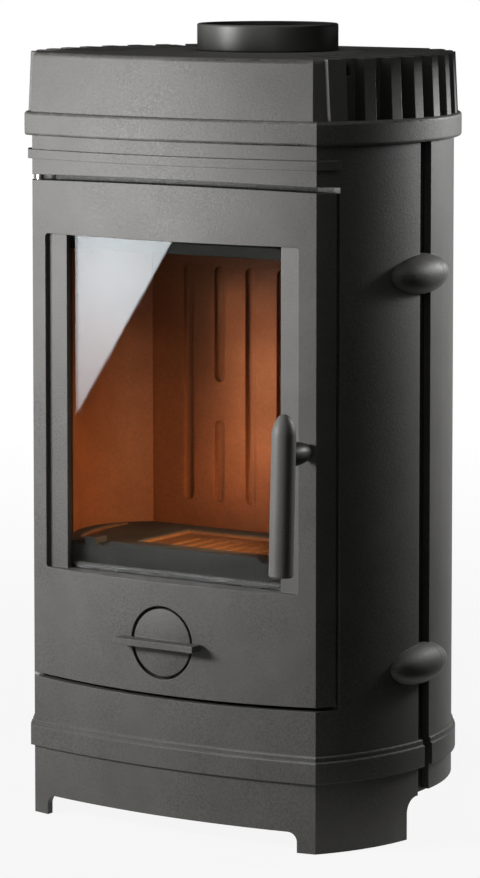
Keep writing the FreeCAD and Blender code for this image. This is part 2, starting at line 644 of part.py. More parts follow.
def hinge_post(name, radius, z):
    """An upright cylinder on the door's hinge axis."""
    return post(name, radius, z, "-hinge_x", "-hinge_y")


def front_shell():
    """Front casting: feet, base band, lower panel, door seat, fascia with its rib, and side wings."""
    tall = ("0", "shell_top")
    wings = ahead("wings", ring("front_wall", "0", "-wall", tall), "-front_end")
    lap_start = "-front_end - lap_ahead"
    lap_back = ring("lap_back", "-wall / 2", "-wall - lap_depth", tall)
    lap_back = ahead("lap_back_front", behind("lap_back_rear", lap_back, lap_start), "-front_end")
    lap = ring("lap_ring", "-wall - fit", "-wall - lap_depth", tall)
    lap = ahead("lap", behind("lap_rear", lap, lap_start), "rear_start + lap_behind")
    slab = crescent("seat_slab", "0", "-seat - wall", ("panel_top - ledge", "fascia_low + ledge"))
    rib = ahead("rib", ring("rib_ring", "rib_grow", "-wall / 2", ("rib_low", "rib_high")), "-rib_end")
    latch_block = latch_space("latch_block", "box_wall", f"-{bow_at('handle_x', 'seat')}")
    box = common("latch_box", [latch_block, section("box_limit", "-wall / 2", tall)])
    solids = [wings, lap_back, lap, slab, rib, box]
    solids.append(bands("front_bands", ahead, "-front_end + band_overhang"))
    solids.append(pods("front_pods", ahead, "rear_start - fit"))
    solids.append(lugs("front_lugs", "-lug_front"))

    pocket = door_outline("pocket_slab", "door_low - panel_top", "fascia_low - door_high", PAST, "-seat")
    door_z = ("panel_top", "fascia_low")
    seat_x = ("-seat_half", "seat_half")
    arch_x = ("front_foot - corner_x", "corner_x - front_foot")
    front_arch = block("front_arch_block", arch_x, (f"-{FAR}", "0"), (f"-{PAST}", "front_arch"))
    side_y = "corner_y + side_foot"
    side_arch = block("side_arch_block", (f"-{FAR}", FAR), (side_y, FAR), (f"-{PAST}", "side_arch"))
    tools = [
        ahead("pocket", pocket, "-door_lip + lip_gap"),
        block("seat_opening", seat_x, (f"-{FAR}", "-liner_front"), ("base_top", "seat_high")),
        latch_space("latch_space", "0", f"-{FAR}"),
        hinge_post("hinge_relief_post", "hinge_relief", door_z),
        hinge_post("pin_bores", "hinge_pin", (f"panel_top - ledge - {PAST}", f"fascia_low + ledge + {PAST}")),
        soften("front_arch_cut", front_arch, "front_round", level("front_arch", along=DEPTH)),
        soften("side_arch_cut", side_arch, "arch_round", level("side_arch", along=ACROSS, y=side_y)),
    ]
    whole = fuse("front_whole", solids)
    return node(cut("front_casting", whole, tools + studs("front_bore")), "front_shell")


def rear_shell():
    """Rear casting: round back with its own base band, skirt, rear foot and pod ends."""
    tall = ("0", "shell_top")
    shell = behind("rear_half", ring("rear_wall", "0", "-wall", tall), "rear_start")
    solids = [shell, bands("rear_bands", behind, "rear_start"), pods("rear_pods", behind, "rear_start")]
    solids.append(lugs("rear_lugs", "lug_rear"))
    low = (f"-{PAST}", "rear_arch")
    tools = [block(f"rear_arch_{side}", x, ("0", FAR), low)
             for side, x in mirrored_pair("rear_foot / 2", FAR)]
    return node(cut("rear_casting", fuse("rear_whole", solids), tools + studs("rear_bore")), "rear_shell")


def group(name, pieces):
    """Identical pieces that share one node as separate solids."""
    together = doc.addObject("Part::Compound", name)
    together.Links = pieces
    return node(together, name)


def radial_slot(name, sign, number, reach, width, z):
    """A slot that runs straight out from the drum axis."""
    angle = f"(fin_first_angle + {number} * fin_angle)"
    slot = block(name, reach, ("0", width), z)
    turn = value(angle) if sign == "1" else 180 - value(angle)
    slot.Placement.Rotation = FreeCAD.Rotation(FreeCAD.Vector(0, 0, 1), turn)
    edge = f"{sign} * {width} / 2"
    x = f"{sign} * ({reach[0]} * cos({angle}) + {edge} * sin({angle}))"
    return at(slot, x, f"{reach[0]} * sin({angle}) - {edge} * cos({angle})", z[0])


def cap_slots(name, sign, number):
    """The slot between two fins, and its narrower run across the top plate."""
    floor = "(drum_radius - slot_floor)"
    top = f"hood_top + {PAST}"
    side = (floor, f"drum_radius + fin_grow + {PAST}")
    gap = radial_slot(name, sign, number, side, "slot_width", (f"shell_top - {PAST}", top))
    run = (f"hood_top - hood_plate - {PAST}", top)
    vent = radial_slot(name + "_vent", sign, number, ("vent_start", f"{floor} + {PAST}"), "vent_width", run)
    return [gap, vent]


def top_cap():
    """Warm-air cap: rounded band, plain bowed hood and radial fins, with a hole for the flue."""
    z = ("shell_top", "hood_top")
    flat = "back_reach + hood_grow - hood_draft"
    hood = section("hood_full", "hood_grow", z, bow="hood_front", back=flat,
                   top_grow="hood_grow - hood_draft", top_bow="hood_front - hood_draft")
    fin_z = ("shell_top + cap_band_round", "hood_top")
    fins = section("fin_full", "fin_grow", fin_z, bow="hood_front - hood_draft", back=flat,
                   top_grow="fin_grow - hood_draft")
    fins = behind("fin_sides", fins, "-fin_start")
    hood = soften("hood_round_edge", hood, "hood_round", level("hood_top"))
    cavity = section("hood_cavity", "-hood_inner", (f"shell_top - {PAST}", "hood_top - hood_plate"),
                     bow="-wall - hood_draft", back="back_reach - wall")
    slots = []
    for number in range(round(value("fin_count"))):
        for side, sign in SIDES:
            slots += cap_slots(f"slot_{side}_{number}", sign, number)
    flue = post("cap_flue_hole", "flue_radius + flue_gap", ("shell_top", f"hood_top + {PAST}"), "0", "flue_y")
    finned = cut("finned_hood", fuse("hood_whole", [hood, fins]), [cavity, flue] + slots)
    band = section("cap_band_full", "cap_band_grow", ("shell_top", "cap_band_high"))
    band = soften("cap_band_soft", band, "cap_band_round", level("shell_top", "cap_band_high"))
    inside = section("cap_band_inside", "-wall / 2", (f"shell_top - {PAST}", f"cap_band_high + {PAST}"))
    return node(fuse("cap_casting", [finned, cut("cap_band", band, [inside])]), "top_cap")


def flange_bolts(name, radius, z):
    """Posts on the flange's bolt circle."""
    posts = []
    count = round(value("flange_bolts"))
    for number in range(count):
        turn = f"(bolt_angle + {number} * 360 / flange_bolts)"
        x, y = f"bolt_circle * cos{turn}", f"flue_y + bolt_circle * sin{turn}"
        posts.append(post(f"{name}_{number}", radius, z, x, y))
    return posts


def flue():
    """Flue collar on the firebox top, with its gasket and bolts."""
    rise = "(flue_top - flange_low)"
    bore = "flue_radius - flue_wall"
    neck = "flue_radius - flue_step"
    step = "(hood_top + flue_gap - flange_low)"
    collar = turned("collar_body", [
        (bore, "0"), ("flange_radius", "0"), ("flange_radius", "flange_height"), (neck, "flange_height"),
        (neck, step), ("flue_radius", step), ("flue_radius", f"{rise} - flue_lip", "flue_lip"),
        ("flue_radius - flue_lip", rise), (bore, rise)])
    at(collar, "0", "flue_y", "flange_low")
    top = "(flange_low + flange_height)"
    z = (f"firebox_top_low - {PAST}", f"{top} + {PAST}")
    bolt_hole = "bolt_radius + running"
    node(cut("collar_drilled", collar, flange_bolts("collar_hole", bolt_hole, z)), "flue_collar")
    low = "firebox_top_low + plate"
    ring_body = post("gasket_disc", "flange_radius", (low, "flange_low"), "0", "flue_y")
    hole = post("gasket_hole", bore, z, "0", "flue_y")
    node(cut("gasket_ring", ring_body, [hole] + flange_bolts("gasket_bolt", bolt_hole, z)), "collar_gasket")
    shanks = flange_bolts("bolt_shank", "bolt_radius", ("firebox_top_low", f"{top} + bolt_head_height"))
    heads = flange_bolts("bolt_head", "bolt_head", (top, f"{top} + bolt_head_height"))
    group("collar_bolts", [fuse(f"collar_bolt_{n}", list(pair)) for n, pair in enumerate(zip(shanks, heads))])


def firebox():
    """Firebox wall, top, ash-pit floor and hearth plate."""
    inset = "-seat - wall - fit"
    wall_z = ("base_top", "firebox_top_low")
    outer = section("firebox_outer", "-jacket", wall_z, bow=inset, back="firebox_back")
    past_z = (f"base_top - {PAST}", f"firebox_top_low + {PAST}")
    inner = section("firebox_inner", "-jacket - firebox_wall", past_z,
                    bow=FAR, back="firebox_back - firebox_wall")
    ledge_z = ("hearth_low - firebox_wall", "hearth_low")
    span = ("drum_radius - jacket - 3 * firebox_wall", "drum_radius - jacket - firebox_wall / 2")
    bars = [block(f"hearth_ledge_{side}", x, ("-liner_y - lug", "lug"), ledge_z)
            for side, x in mirrored_pair(*span)]
    limit = section("ledge_limit", "-jacket - fit", ledge_z)
    ledges = common("hearth_ledges", [fuse("hearth_bars", bars), limit])
    walls = cut("firebox_walls", outer, [inner, latch_space("firebox_notch", "box_wall + fit", f"-{FAR}")])
    node(fuse("firebox_casting", [walls, ledges]), "firebox_shell")

    top_z = ("firebox_top_low", "firebox_top_low + plate")
    top = section("firebox_lid", "-jacket", top_z, bow=inset, back="firebox_back")
    z = (f"firebox_top_low - {PAST}", f"flange_low + {PAST}")
    outlet = post("firebox_outlet", "flue_radius - flue_wall", z, "0", "flue_y")
    bolt_holes = flange_bolts("roof_hole", "bolt_radius + running", z)
    node(cut("firebox_roof", top, [outlet] + bolt_holes), "firebox_top")

    floor_z = ("base_top - plate", "base_top")
    floor = section("pit_floor", "-wall - lap_depth - fit", floor_z,
                    bow=inset, back="back_reach - wall - fit")
    node(floor, "ash_pit_floor")

    z = ("hearth_low", "hearth_top")
    hearth = section("hearth_full", "-jacket - firebox_wall - fit", z,
                     bow=inset, back="fireback_y + fireback_depth")
    hearth = behind("hearth_trim", hearth, "-hearth_front")
    well = grate_block("hearth_well", "0", ("grate_low", f"hearth_top + {PAST}"))
    through = grate_block("hearth_hole", "grate_lip", (f"hearth_low - {PAST}", "hearth_top"))
    groove_z = ("hearth_top - arch_depth", f"hearth_top + {PAST}")
    inner_z = ("hearth_low", f"hearth_top + hearth_depth + {PAST}")
    arch = cut("hearth_arch", post("arch_outer", "arch_radius", groove_z),
               [post("arch_inner", "arch_radius - arch_width", inner_z)])
    arch = ahead("arch_front", behind("arch_rear", arch, "-liner_front"), "fireback_y - arch_width")
    node(cut("hearth", hearth, [well, through, arch]), "hearth_plate")


def grate_block(name, inset, z):
    """A block of the grate's plan, drawn in all round."""
    x = (f"-grate_half + {inset}", f"grate_half - ({inset})")
    return block(name, x, (f"-grate_front + {inset}", f"grate_back - ({inset})"), z)


def grate():
    """Slotted grate that lies in the hearth's rebate."""
    top = "grate_low + grate_depth"
    rim = grate_block("grate_rim", "fit", ("grate_low", top))
    core = grate_block("grate_core", "grate_lip + fit", ("hearth_low", top))
    slots = []
    count = round(value("grate_slots"))
    for number in range(count):
        x = f"({number} - (grate_slots - 1) / 2) * 2 * grate_slot"
        y = ("-grate_front + 2 * grate_slot", "grate_back - 2 * grate_slot")
        z = (f"hearth_low - {PAST}", f"hearth_top + {PAST}")
        slots.append(block(f"grate_slot_{number}", (f"{x} - grate_slot / 2", f"{x} + grate_slot / 2"), y, z))
    node(cut("grate_plate", fuse("grate_whole", [rim, core]), slots), "grate")


def ash_pan():
    """Open sheet pan under the grate."""
    x = ("-pan_half", "pan_half")
    y = ("-pan_front", "pan_back")
    full = block("pan_full", x, y, ("base_top", "base_top + pan_height"))
    inner_x = ("-pan_half + pan_wall", "pan_half - pan_wall")
    inner_y = ("-pan_front + pan_wall", "pan_back - pan_wall")
    inner = block("pan_inner", inner_x, inner_y, ("base_top + pan_wall", f"base_top + pan_height + {PAST}"))
    node(cut("pan", full, [inner]), "ash_pan")


def groove(name, x, low, high):
    """A round-ended groove in the front of the fireback."""
    y = (f"fireback_y - {PAST}", "fireback_y + groove_depth")
    half = "groove_width / 2"
    run = block(name + "_run", (f"{x} - {half}", f"{x} + {half}"), y, (f"{low} + {half}", f"{high} - {half}"))
    foot = rod(name + "_low", half, y, x, f"{low} + {half}")
    head = rod(name + "_high", half, y, x, f"{high} - {half}")
    return fuse(name, [run, foot, head])


def linings():
    """Grooved fireback, curved side liners, baffle and log guard."""
    back_y = ("fireback_y", "fireback_y + fireback_depth")
    slab = block("fireback_slab", ("-fireback_half", "fireback_half"), back_y, ("hearth_top", "fireback_top"))
    grooves = []
    for side, sign in SIDES:
        for number in ("0.5", "2.5"):
            x = f"{sign} * {number} * groove_pitch"
            grooves.append(groove(f"groove_{side}_{number[0]}", x, "groove_low", "groove_top"))
        x = f"{sign} * 1.5 * groove_pitch"
        grooves.append(groove(f"groove_{side}_low", x, "groove_low", "groove_split_low"))
        grooves.append(groove(f"groove_{side}_high", x, "groove_split_high", "groove_top"))
    node(cut("fireback_plate", slab, grooves), "fireback")

    z = ("hearth_top", "fireback_top")
    past_z = (f"hearth_top - {PAST}", f"fireback_top + {PAST}")
    for side, sign in SIDES:
        x = f"{sign} * liner_x"
        full = post(f"liner_full_{side}", "liner_radius", z, x, "-liner_y")
        hollow = post(f"liner_hollow_{side}", "liner_radius - liner_depth", past_z, x, "-liner_y")
        span = ("liner_x", FAR) if sign == "1" else (f"-{FAR}", "-liner_x")
        keep = block(f"liner_keep_{side}", span, ("-liner_front", "fireback_y - fit"), z)
        shell = cut(f"liner_shell_{side}", full, [hollow])
        node(common(f"liner_{side}", [shell, keep]), f"side_liner_{side}")

    top = ("fireback_top", "fireback_top + baffle_depth")
    lid = block("baffle_block", ("-baffle_half", "baffle_half"), ("-baffle_front", back_y[1]), top)
    limit = post("baffle_limit", "drum_radius - jacket - firebox_wall - fit", top)
    node(common("baffle_plate", [lid, limit]), "baffle")

    shoulder = "guard_middle + guard_slope"
    plate = padded("guard_plate", [
        ("-guard_half", "guard_low"), ("guard_half", "guard_low"), ("guard_half", "guard_side"),
        (shoulder, "guard_side"), ("guard_middle", "guard_high"), ("-guard_middle", "guard_high"),
        (f"-({shoulder})", "guard_side"), ("-guard_half", "guard_side")], "guard_depth")
    at(plate, "0", "-hearth_front - guard_depth", "0")
    hooks = []
    for side, x in mirrored_pair("hook_x - guard_hook / 2", "hook_x + guard_hook / 2"):
        y = ("-hearth_front - guard_depth", "-hearth_front + guard_hook")
        hooks.append(block(f"guard_hook_{side}", x, y, ("hearth_top", "hearth_top + guard_depth")))
    posts = []
    for side, x in mirrored_pair("hook_x - guard_hook / 2", "hook_x + guard_hook / 2"):
        y = ("-hearth_front - guard_depth", "-hearth_front")
        posts.append(block(f"guard_post_{side}", x, y, ("guard_low", "hearth_top + guard_depth")))
    node(fuse("guard", [plate] + hooks + posts), "log_guard")


def rope_frame(name, z_span):
    """The rectangular path of the rope seal, as an upright frame through the door."""
    y = (f"-{FAR}", "0")
    low, high = z_span
    outer = block(name + "_outer", ("-rope_half - rope / 2", "rope_half + rope / 2"), y, (low, high))
    inner_x = ("-rope_half + rope / 2", "rope_half - rope / 2")
    inner = block(name + "_inner", inner_x, (f"-{FAR}", PAST), (f"{low} + rope", f"{high} - rope"))
    return cut(name, outer, [inner])


def glass_frame(name, inset, y):
    """A block of the glass's outline, drawn in all round."""
    x = (f"-glass_half + {inset}", f"glass_half - ({inset})")
    return block(name, x, y, (f"window_low - glass_rail + {inset}", f"window_high + glass_rail - ({inset})"))


def door():
    """Door casting with its seals, glass, clips and screws."""
    frame = ahead("door_slab", door_outline("door_bowed", "0", "0", "0", "-door_depth"), "-door_lip")
    rim = glass_frame("glass_rim", "-seat_rim", ("-window_floor", "-glass_back"))
    solid = fuse("door_solid", [frame, rim])
    window_z = ("window_low", "window_high")
    recess = block("window_recess", ("-window_half", "window_half"), (f"-{FAR}", "-window_floor"), window_z)
    recess = soften("window_recess_round", recess, "window_round", along_depth)
    opening_x = ("-window_half + pillar", "window_half - pillar")
    opening = block("window_opening", opening_x, (f"-{FAR}", "0"), window_z)
    rebate = glass_frame("glass_rebate", "-fit", ("-glass_seat", "0"))
    rope_z = ("door_low + rope_margin", "door_high - rope_margin")
    deep = "-door_depth + rope_groove"
    tall = ("door_low", "door_high")
    channel = crescent("rope_channel", deep, "-seat - wall", tall)
    hole = rod("knob_recess", "knob_hole", (f"-{FAR}", "-door_back - web"), z="knob_z")
    bore = rod("spindle_bore", "spindle + running", (f"-{FAR}", "0"), z="knob_z")
    shaft_bore = rod("shaft_bore", "shaft_radius + running", (f"-{FAR}", "0"), "handle_x", "handle_z")
    low_z = (f"door_low - {PAST}", "door_low + hinge_hole")
    low_hole = hinge_post("hinge_hole_low", "hinge_pin + running", low_z)
    high_z = ("door_high - hinge_hole", f"door_high + {PAST}")
    high_hole = hinge_post("hinge_hole_high", "hinge_pin + running", high_z)
    tools = [recess, opening, rebate, hole, bore, shaft_bore, low_hole, high_hole]
    tools.append(common("rope_groove_cut", [channel, rope_frame("rope_cut", rope_z)]))
    node(cut("door_casting", solid, tools + ports("door_port", (f"-{FAR}", "0"))), "door_frame")

    rope = crescent("rope_slab", deep, "-seat + fit", tall)
    node(common("rope_seal", [rope, rope_frame("rope_path", rope_z)]), "door_rope_seal")
    pad_y = ("-glass_seat", "-glass_seat + glass_pad")
    pad_hole = glass_frame("glass_pad_hole", "glass_overlap - fit", (f"-{FAR}", "0"))
    node(cut("glass_pad", glass_frame("glass_pad_full", "0", pad_y), [pad_hole]), "glass_seal")
    node(glass_frame("pane", "0", ("-glass_seat + glass_pad", "-glass_back")), "door_glass")
    clips()


def along_depth(edge):
    """A test for edges that run from front to back."""
    return edge.BoundBox.XLength < 0.01 and edge.BoundBox.ZLength < 0.01


def clips():
    """Clips and screws that hold the glass at the back of the door."""
    plates = []
    screws = []
    y = ("-glass_back", "-glass_back + clip_depth")
    ends = (("low", "(window_low - glass_rail)", "-1"), ("high", "(window_high + glass_rail)", "1"))
    for side, sign in SIDES:
        x = (f"{sign} * clip_x - clip_width / 2", f"{sign} * clip_x + clip_width / 2")
        for end, edge, out in ends:
            z = (f"{edge} - seat_rim", f"{edge} + seat_rim")
            middle = f"{edge} + {out} * seat_rim / 2"
            centre = f"{sign} * clip_x"
            name = f"{side}_{end}"
            hole = rod(f"clip_hole_{name}", "screw_radius", (f"-{FAR}", "0"), centre, middle)
            plates.append(cut(f"clip_{name}", block(f"clip_plate_{name}", x, y, z), [hole]))
            shank = rod(f"clip_shank_{name}", "screw_radius", y, centre, middle)
            head_y = (y[1], f"{y[1]} + screw_head_depth")
            head = rod(f"clip_head_{name}", "screw_head", head_y, centre, middle)
            screws.append(fuse(f"clip_screw_{name}", [shank, head]))
    group("glass_clips", plates)
    group("clip_screws", screws)


def ports(name, y):
    """The two air ports beside the air control's axis."""
    return [rod(f"{name}_{side}", "port_radius", y, f"{sign} * port_x", "knob_z") for side, sign in SIDES]


def hinge():
    """Hinge pins in the front casting and the washer that carries the door."""
    low = ("panel_top - ledge", "door_low + hinge_hole - running")
    high = ("door_high - hinge_hole + running", "fascia_low + ledge")
    node(hinge_post("pin_low", "hinge_pin", low), "hinge_pin_bottom")
    node(hinge_post("pin_high", "hinge_pin", high), "hinge_pin_top")
    disc_z = ("panel_top - door_sag", f"{door_bottom('hinge_x - washer_radius')} - running")
    washer = hinge_post("washer_disc", "washer_radius", disc_z)
    bore = hinge_post("washer_bore", "hinge_pin", (f"panel_top - {PAST}", f"door_low + {PAST}"))
    washer = cut("washer_trim", washer, [bore])
    floor = rod("washer_floor", "arc_radius + door_low - panel_top", (f"-{FAR}", FAR),
                z="door_low - door_sag + arc_radius")
    node(common("washer", [washer, floor]), "hinge_washer")


def handle():
    """Handle bar on its round stem, with the latch behind the door."""
    # The nose is two tangent arcs: a long one from the bar's side, then the rounded tip
    drop = "(handle_nose - handle_tip)"
    sweep = f"((handle_radius ^ 2 - handle_tip ^ 2 + {drop} ^ 2) / (2 * (handle_radius - handle_tip)))"
    share = f"(handle_tip / ({sweep} - handle_tip))"
    meet_x = f"{share} * ({sweep} - handle_radius)"
    meet_z = f"handle_above - handle_tip + {share} * {drop}"
    bar = turned("bar_body", [
        ("0", "-handle_below"), ("handle_radius - handle_edge", "-handle_below"),
        ("handle_radius", "-handle_below + handle_edge"),
        ("handle_radius", "handle_above - handle_nose", sweep),
        (meet_x, meet_z, "handle_tip"), ("0", "handle_above")])
    bar.Placement.Rotation = FreeCAD.Rotation(ACROSS, -value("handle_tilt"))
    node(at(bar, "handle_x", "-handle_y", "handle_z"), "handle_bar")

    face = f"({bow_at('handle_x')} + stem_gap)"
    length = f"(handle_y - {face})"
    bulb = f"(({length} ^ 2 / 4 + (stem_radius - stem_neck) ^ 2) / (2 * (stem_radius - stem_neck)))"
    stem = turned("stem_body", [("0", "0"), ("stem_neck", "0", bulb), ("stem_neck", length), ("0", length)])
    stem.Placement.Rotation = FreeCAD.Rotation(ACROSS, -90)
    at(stem, "handle_x", "-handle_y", "handle_z")
    shaft_y = (f"-{face} - stem_neck", f"-{bow_at('handle_x', 'seat')} + box_depth - tongue_gap")
    shaft = rod("shaft", "shaft_radius", shaft_y, "handle_x", "handle_z")
    node(cut("stem", stem, [bar, shaft]), "handle_stem")
    node(shaft, "latch_shaft")

    tongue_y = (f"-{bow_at('handle_x', 'seat + wall')} + tongue_gap",
                f"-{bow_at('handle_x', 'seat + wall')} + tongue_gap + tongue_depth")
    sleeve_y = (f"-{bow_at('handle_x', 'door_depth')} + stem_gap", tongue_y[0])
    node(tube("sleeve", "sleeve_radius", "shaft_radius", sleeve_y, "handle_x", "handle_z"), "latch_sleeve")
    bar_x = ("handle_x - tongue_width / 2", "handle_x + tongue_reach")
    bar_z = ("handle_z - tongue_width / 2", "handle_z + tongue_width / 2")
    tongue = block("tongue_bar", bar_x, tongue_y, bar_z)
    bore = rod("tongue_bore", "shaft_radius", (f"-{FAR}", "0"), "handle_x", "handle_z")
    boss = rod("tongue_boss", "sleeve_radius", tongue_y, "handle_x", "handle_z")
    node(cut("tongue", fuse("tongue_whole", [tongue, boss]), [bore]), "latch_tongue")
    nut_y = (tongue_y[1], f"{tongue_y[1]} + nut_depth")
    node(hexagon("shaft_nut", "nut_radius", nut_y, "shaft_radius", "handle_x", "handle_z"), "latch_nut")

    keeper_x = ("handle_x + box_right - keeper_depth", "handle_x + box_right")
    keeper_y = (f"{tongue_y[0]} - 2 * running - keeper_length", f"{tongue_y[0]} - 2 * running")
    keeper = block("keeper_plate", keeper_x, keeper_y, ("handle_z - keeper_half", "handle_z + keeper_half"))
    node(keeper, "latch_keeper")


def air_control():
    """Air disc with its blade, on a spindle that turns a shutter behind it."""
    face = "-front_reach"
    dome = "((knob_radius ^ 2 + knob_dome ^ 2) / (2 * knob_dome))"
    disc = turned("disc_body", [("0", "0"), ("knob_radius", "0"), ("knob_radius", "knob_depth", dome),
                                ("0", "knob_depth + knob_dome")])
    disc.Placement.Rotation = FreeCAD.Rotation(ACROSS, 90)
    at(disc, "0", f"{face} + knob_depth + knob_dome / 2", "knob_z")
    blade_y = (f"{face} - blade_out", f"{face} + knob_depth / 2")
    blade_z = ("knob_z - blade_height / 2", "knob_z + blade_height / 2")
    blade = block("blade", ("-blade_half", "blade_half"), blade_y, blade_z)
    side_y = (f"{face} - blade_lift", "0")
    side_z = (f"knob_z - {PAST}", f"knob_z + {PAST}")
    sides = [block(f"blade_side_{side}", x, side_y, side_z)
             for side, x in mirrored_pair("knob_radius - knob_dome", FAR)]
    blade = cut("blade_trim", blade, sides)
    spindle_y = (f"{face} + knob_dome", "-door_back + spring_depth + nut_depth + running + spindle / 2")
    rod_piece = rod("spindle_rod", "spindle", spindle_y, z="knob_z")
    node(cut("knob", fuse("knob_whole", [disc, blade]), [rod_piece]), "air_knob")
    node(rod_piece, "air_spindle")
    web_front = "-door_back - web"
    shutter_y = (f"{web_front} - fit - shutter_depth", f"{web_front} - fit")
    plate = tube("shutter_plate", "knob_radius", "spindle", shutter_y, z="knob_z")
    node(cut("shutter", plate, ports("shutter_port", (f"-{FAR}", "0"))), "air_shutter")
    spring_y = ("-door_back + running", "-door_back + running + spring_depth")
    node(tube("spring", "washer_radius", "spindle", spring_y, z="knob_z"), "spring_washer")
    nut_y = (spring_y[1], f"{spring_y[1]} + nut_depth")
    node(hexagon("knob_nut", "nut_radius", nut_y, "spindle", z="knob_z"), "spindle_nut")


front_shell()
rear_shell()
group("shell_tie_studs", studs("tie_stud"))
top_cap()
flue()
firebox()
grate()
ash_pan()
linings()
door()
hinge()
handle()
air_control()
doc.recompute()

# Stop before writing anything if a piece failed
for piece in doc.Objects:
    if "Invalid" in piece.State or "Error" in piece.State:
        raise RuntimeError(f"{piece.Label} did not build: {piece.State}")
for piece in NODES:
    if piece.Shape.isNull() or not piece.Shape.isValid():
        raise RuntimeError(f"{piece.Label} has no valid shape")

os.makedirs("parts", exist_ok=True)
for piece in NODES:
    piece.Shape.exportStep(f"parts/{piece.Label}.step")
    print(f"{piece.Label:18} {len(piece.Shape.Solids)} solids {piece.Shape.Volume / 1000:9.1f} cm3")
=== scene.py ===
"""Dresses a cast-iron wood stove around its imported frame.

The castings, lining, glass and fittings keep their solids and get their finishes here. The rope seal and the
glass tape are made here in full and stand for their plain solids.
"""

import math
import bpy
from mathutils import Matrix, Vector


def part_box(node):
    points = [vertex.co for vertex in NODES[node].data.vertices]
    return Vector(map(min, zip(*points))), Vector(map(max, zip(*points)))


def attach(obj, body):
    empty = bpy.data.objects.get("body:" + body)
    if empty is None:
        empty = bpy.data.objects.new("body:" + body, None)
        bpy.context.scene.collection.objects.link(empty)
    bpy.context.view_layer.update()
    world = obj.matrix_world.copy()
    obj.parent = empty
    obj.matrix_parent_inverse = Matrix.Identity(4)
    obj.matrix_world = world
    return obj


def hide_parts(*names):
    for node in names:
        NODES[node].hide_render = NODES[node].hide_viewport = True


bl_info = {
    "name": "Cast-iron wood stove",
    "version": (1, 0, 0),
    "blender": (4, 5, 0),
    "location": "View3D > Sidebar > Stove",
    "description": "Finishes, seals and stage of a cast-iron wood stove",
    "category": "Object",
}

import bpy
from bpy.props import FloatProperty, FloatVectorProperty, IntProperty, PointerProperty
from mathutils import Matrix, Vector

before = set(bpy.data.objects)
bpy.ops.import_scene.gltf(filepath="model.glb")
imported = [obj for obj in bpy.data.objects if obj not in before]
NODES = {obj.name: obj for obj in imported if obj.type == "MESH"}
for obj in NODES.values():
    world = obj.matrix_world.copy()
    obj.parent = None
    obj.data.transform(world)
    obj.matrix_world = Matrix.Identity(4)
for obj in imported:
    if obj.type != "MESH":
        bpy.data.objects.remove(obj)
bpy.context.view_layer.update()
MM = 0.001
WHITE = (1, 1, 1, 1)

# Half the width over which a stain fades out
FADE = 1 * MM
# The middle part of its range, which a noise mostly stays in
MIDDLE = {"From Min": 0.3, "From Max": 0.7}
# A mask falls from 1 to 0 over its range
FALLING = {"To Min": 1, "To Max": 0}
# Colour sockets of the Mix node, whose names are not unique
FIRST, SECOND, MIXED = 6, 7, 2


def linear(code):
    """Linear colour, with full alpha, of an sRGB hex value."""
    parts = [int(code[i:i + 2], 16) / 255 for i in (1, 3, 5)]
    return [p / 12.92 if p <= 0.04045 else ((p + 0.055) / 1.055) ** 2.4 for p in parts] + [1]


def scaled(colour, share):
    """A colour made darker or lighter."""
    return [channel * share for channel in colour[:3]] + [1]


def add(tree, kind, inputs=None, output=0, **settings):
    """Add a node with its settings, fill or link its inputs, and return one of its outputs."""
    node = tree.nodes.new(kind)
    for key, setting in settings.items():
        setattr(node, key, setting)
    for key, given in (inputs or {}).items():
        if isinstance(given, bpy.types.NodeSocket):
            tree.links.new(given, node.inputs[key])
        else:
            node.inputs[key].default_value = given
    return node.outputs[output] if node.outputs else None


class StovePaint(bpy.types.PropertyGroup):
    """Paint on the castings."""

    shade: FloatVectorProperty(
        name="Shade", description="Darker tone of the paint", subtype="COLOR", size=4,
        min=0, max=1, default=linear("#4f4e4c"))
    light: FloatVectorProperty(
        name="Light", description="Lighter tone of the paint", subtype="COLOR", size=4,
        min=0, max=1, default=linear("#575653"))
    grain: FloatProperty(
        name="Grain", description="Size of the sand grain that shows through the paint",
        default=2.2 * MM, unit="LENGTH")
    edge: FloatProperty(
        name="Edge", description="Rounding of the cast edges", default=1.2 * MM, unit="LENGTH")
    bow: FloatProperty(
        name="Bow", description="Radius of the bowed front", default=833 * MM, unit="LENGTH")
    drum: FloatProperty(
        name="Drum", description="Radius of the round body", default=222 * MM, unit="LENGTH")


class StoveLining(bpy.types.PropertyGroup):
    """Lining of the fire chamber."""

    clay: FloatVectorProperty(
        name="Clay", description="Tone of the clean lining", subtype="COLOR", size=4,
        min=0, max=1, default=linear("#96572f"))
    # Soot and painted shade: the tone that the lining darkens to towards its top.
    soot_and_painted_shade: FloatVectorProperty(
        name="Soot", description="Tone where smoke has stained it", subtype="COLOR", size=4,
        min=0, max=1, default=linear("#5f3219"))
    grain: FloatProperty(
        name="Grain", description="Size of the clay's grain", default=3 * MM, unit="LENGTH")


class StoveSeals(bpy.types.PropertyGroup):
    """Rope seal and glass tape."""

    rope: FloatProperty(
        name="Rope", description="Radius of the rope", default=3.8 * MM, unit="LENGTH")
    rope_corner: FloatProperty(
        name="Rope corner", description="Bend of the rope at the door's corners",
        default=9 * MM, unit="LENGTH")
    strand: FloatProperty(
        name="Strand", description="Radius of one strand of the rope", default=1.15 * MM, unit="LENGTH")
    turns: IntProperty(
        name="Turns", description="Turns of each strand round the whole rope", default=90, min=4)
    tape: FloatProperty(
        name="Tape", description="Width of the glass tape", default=6.5 * MM, unit="LENGTH")
    tape_corner: FloatProperty(
        name="Tape corner", description="Bend of the tape at the glass's corners",
        default=4 * MM, unit="LENGTH")
    pitch: FloatProperty(
        name="Pitch", description="Distance between the tape's threads", default=2.2 * MM, unit="LENGTH")


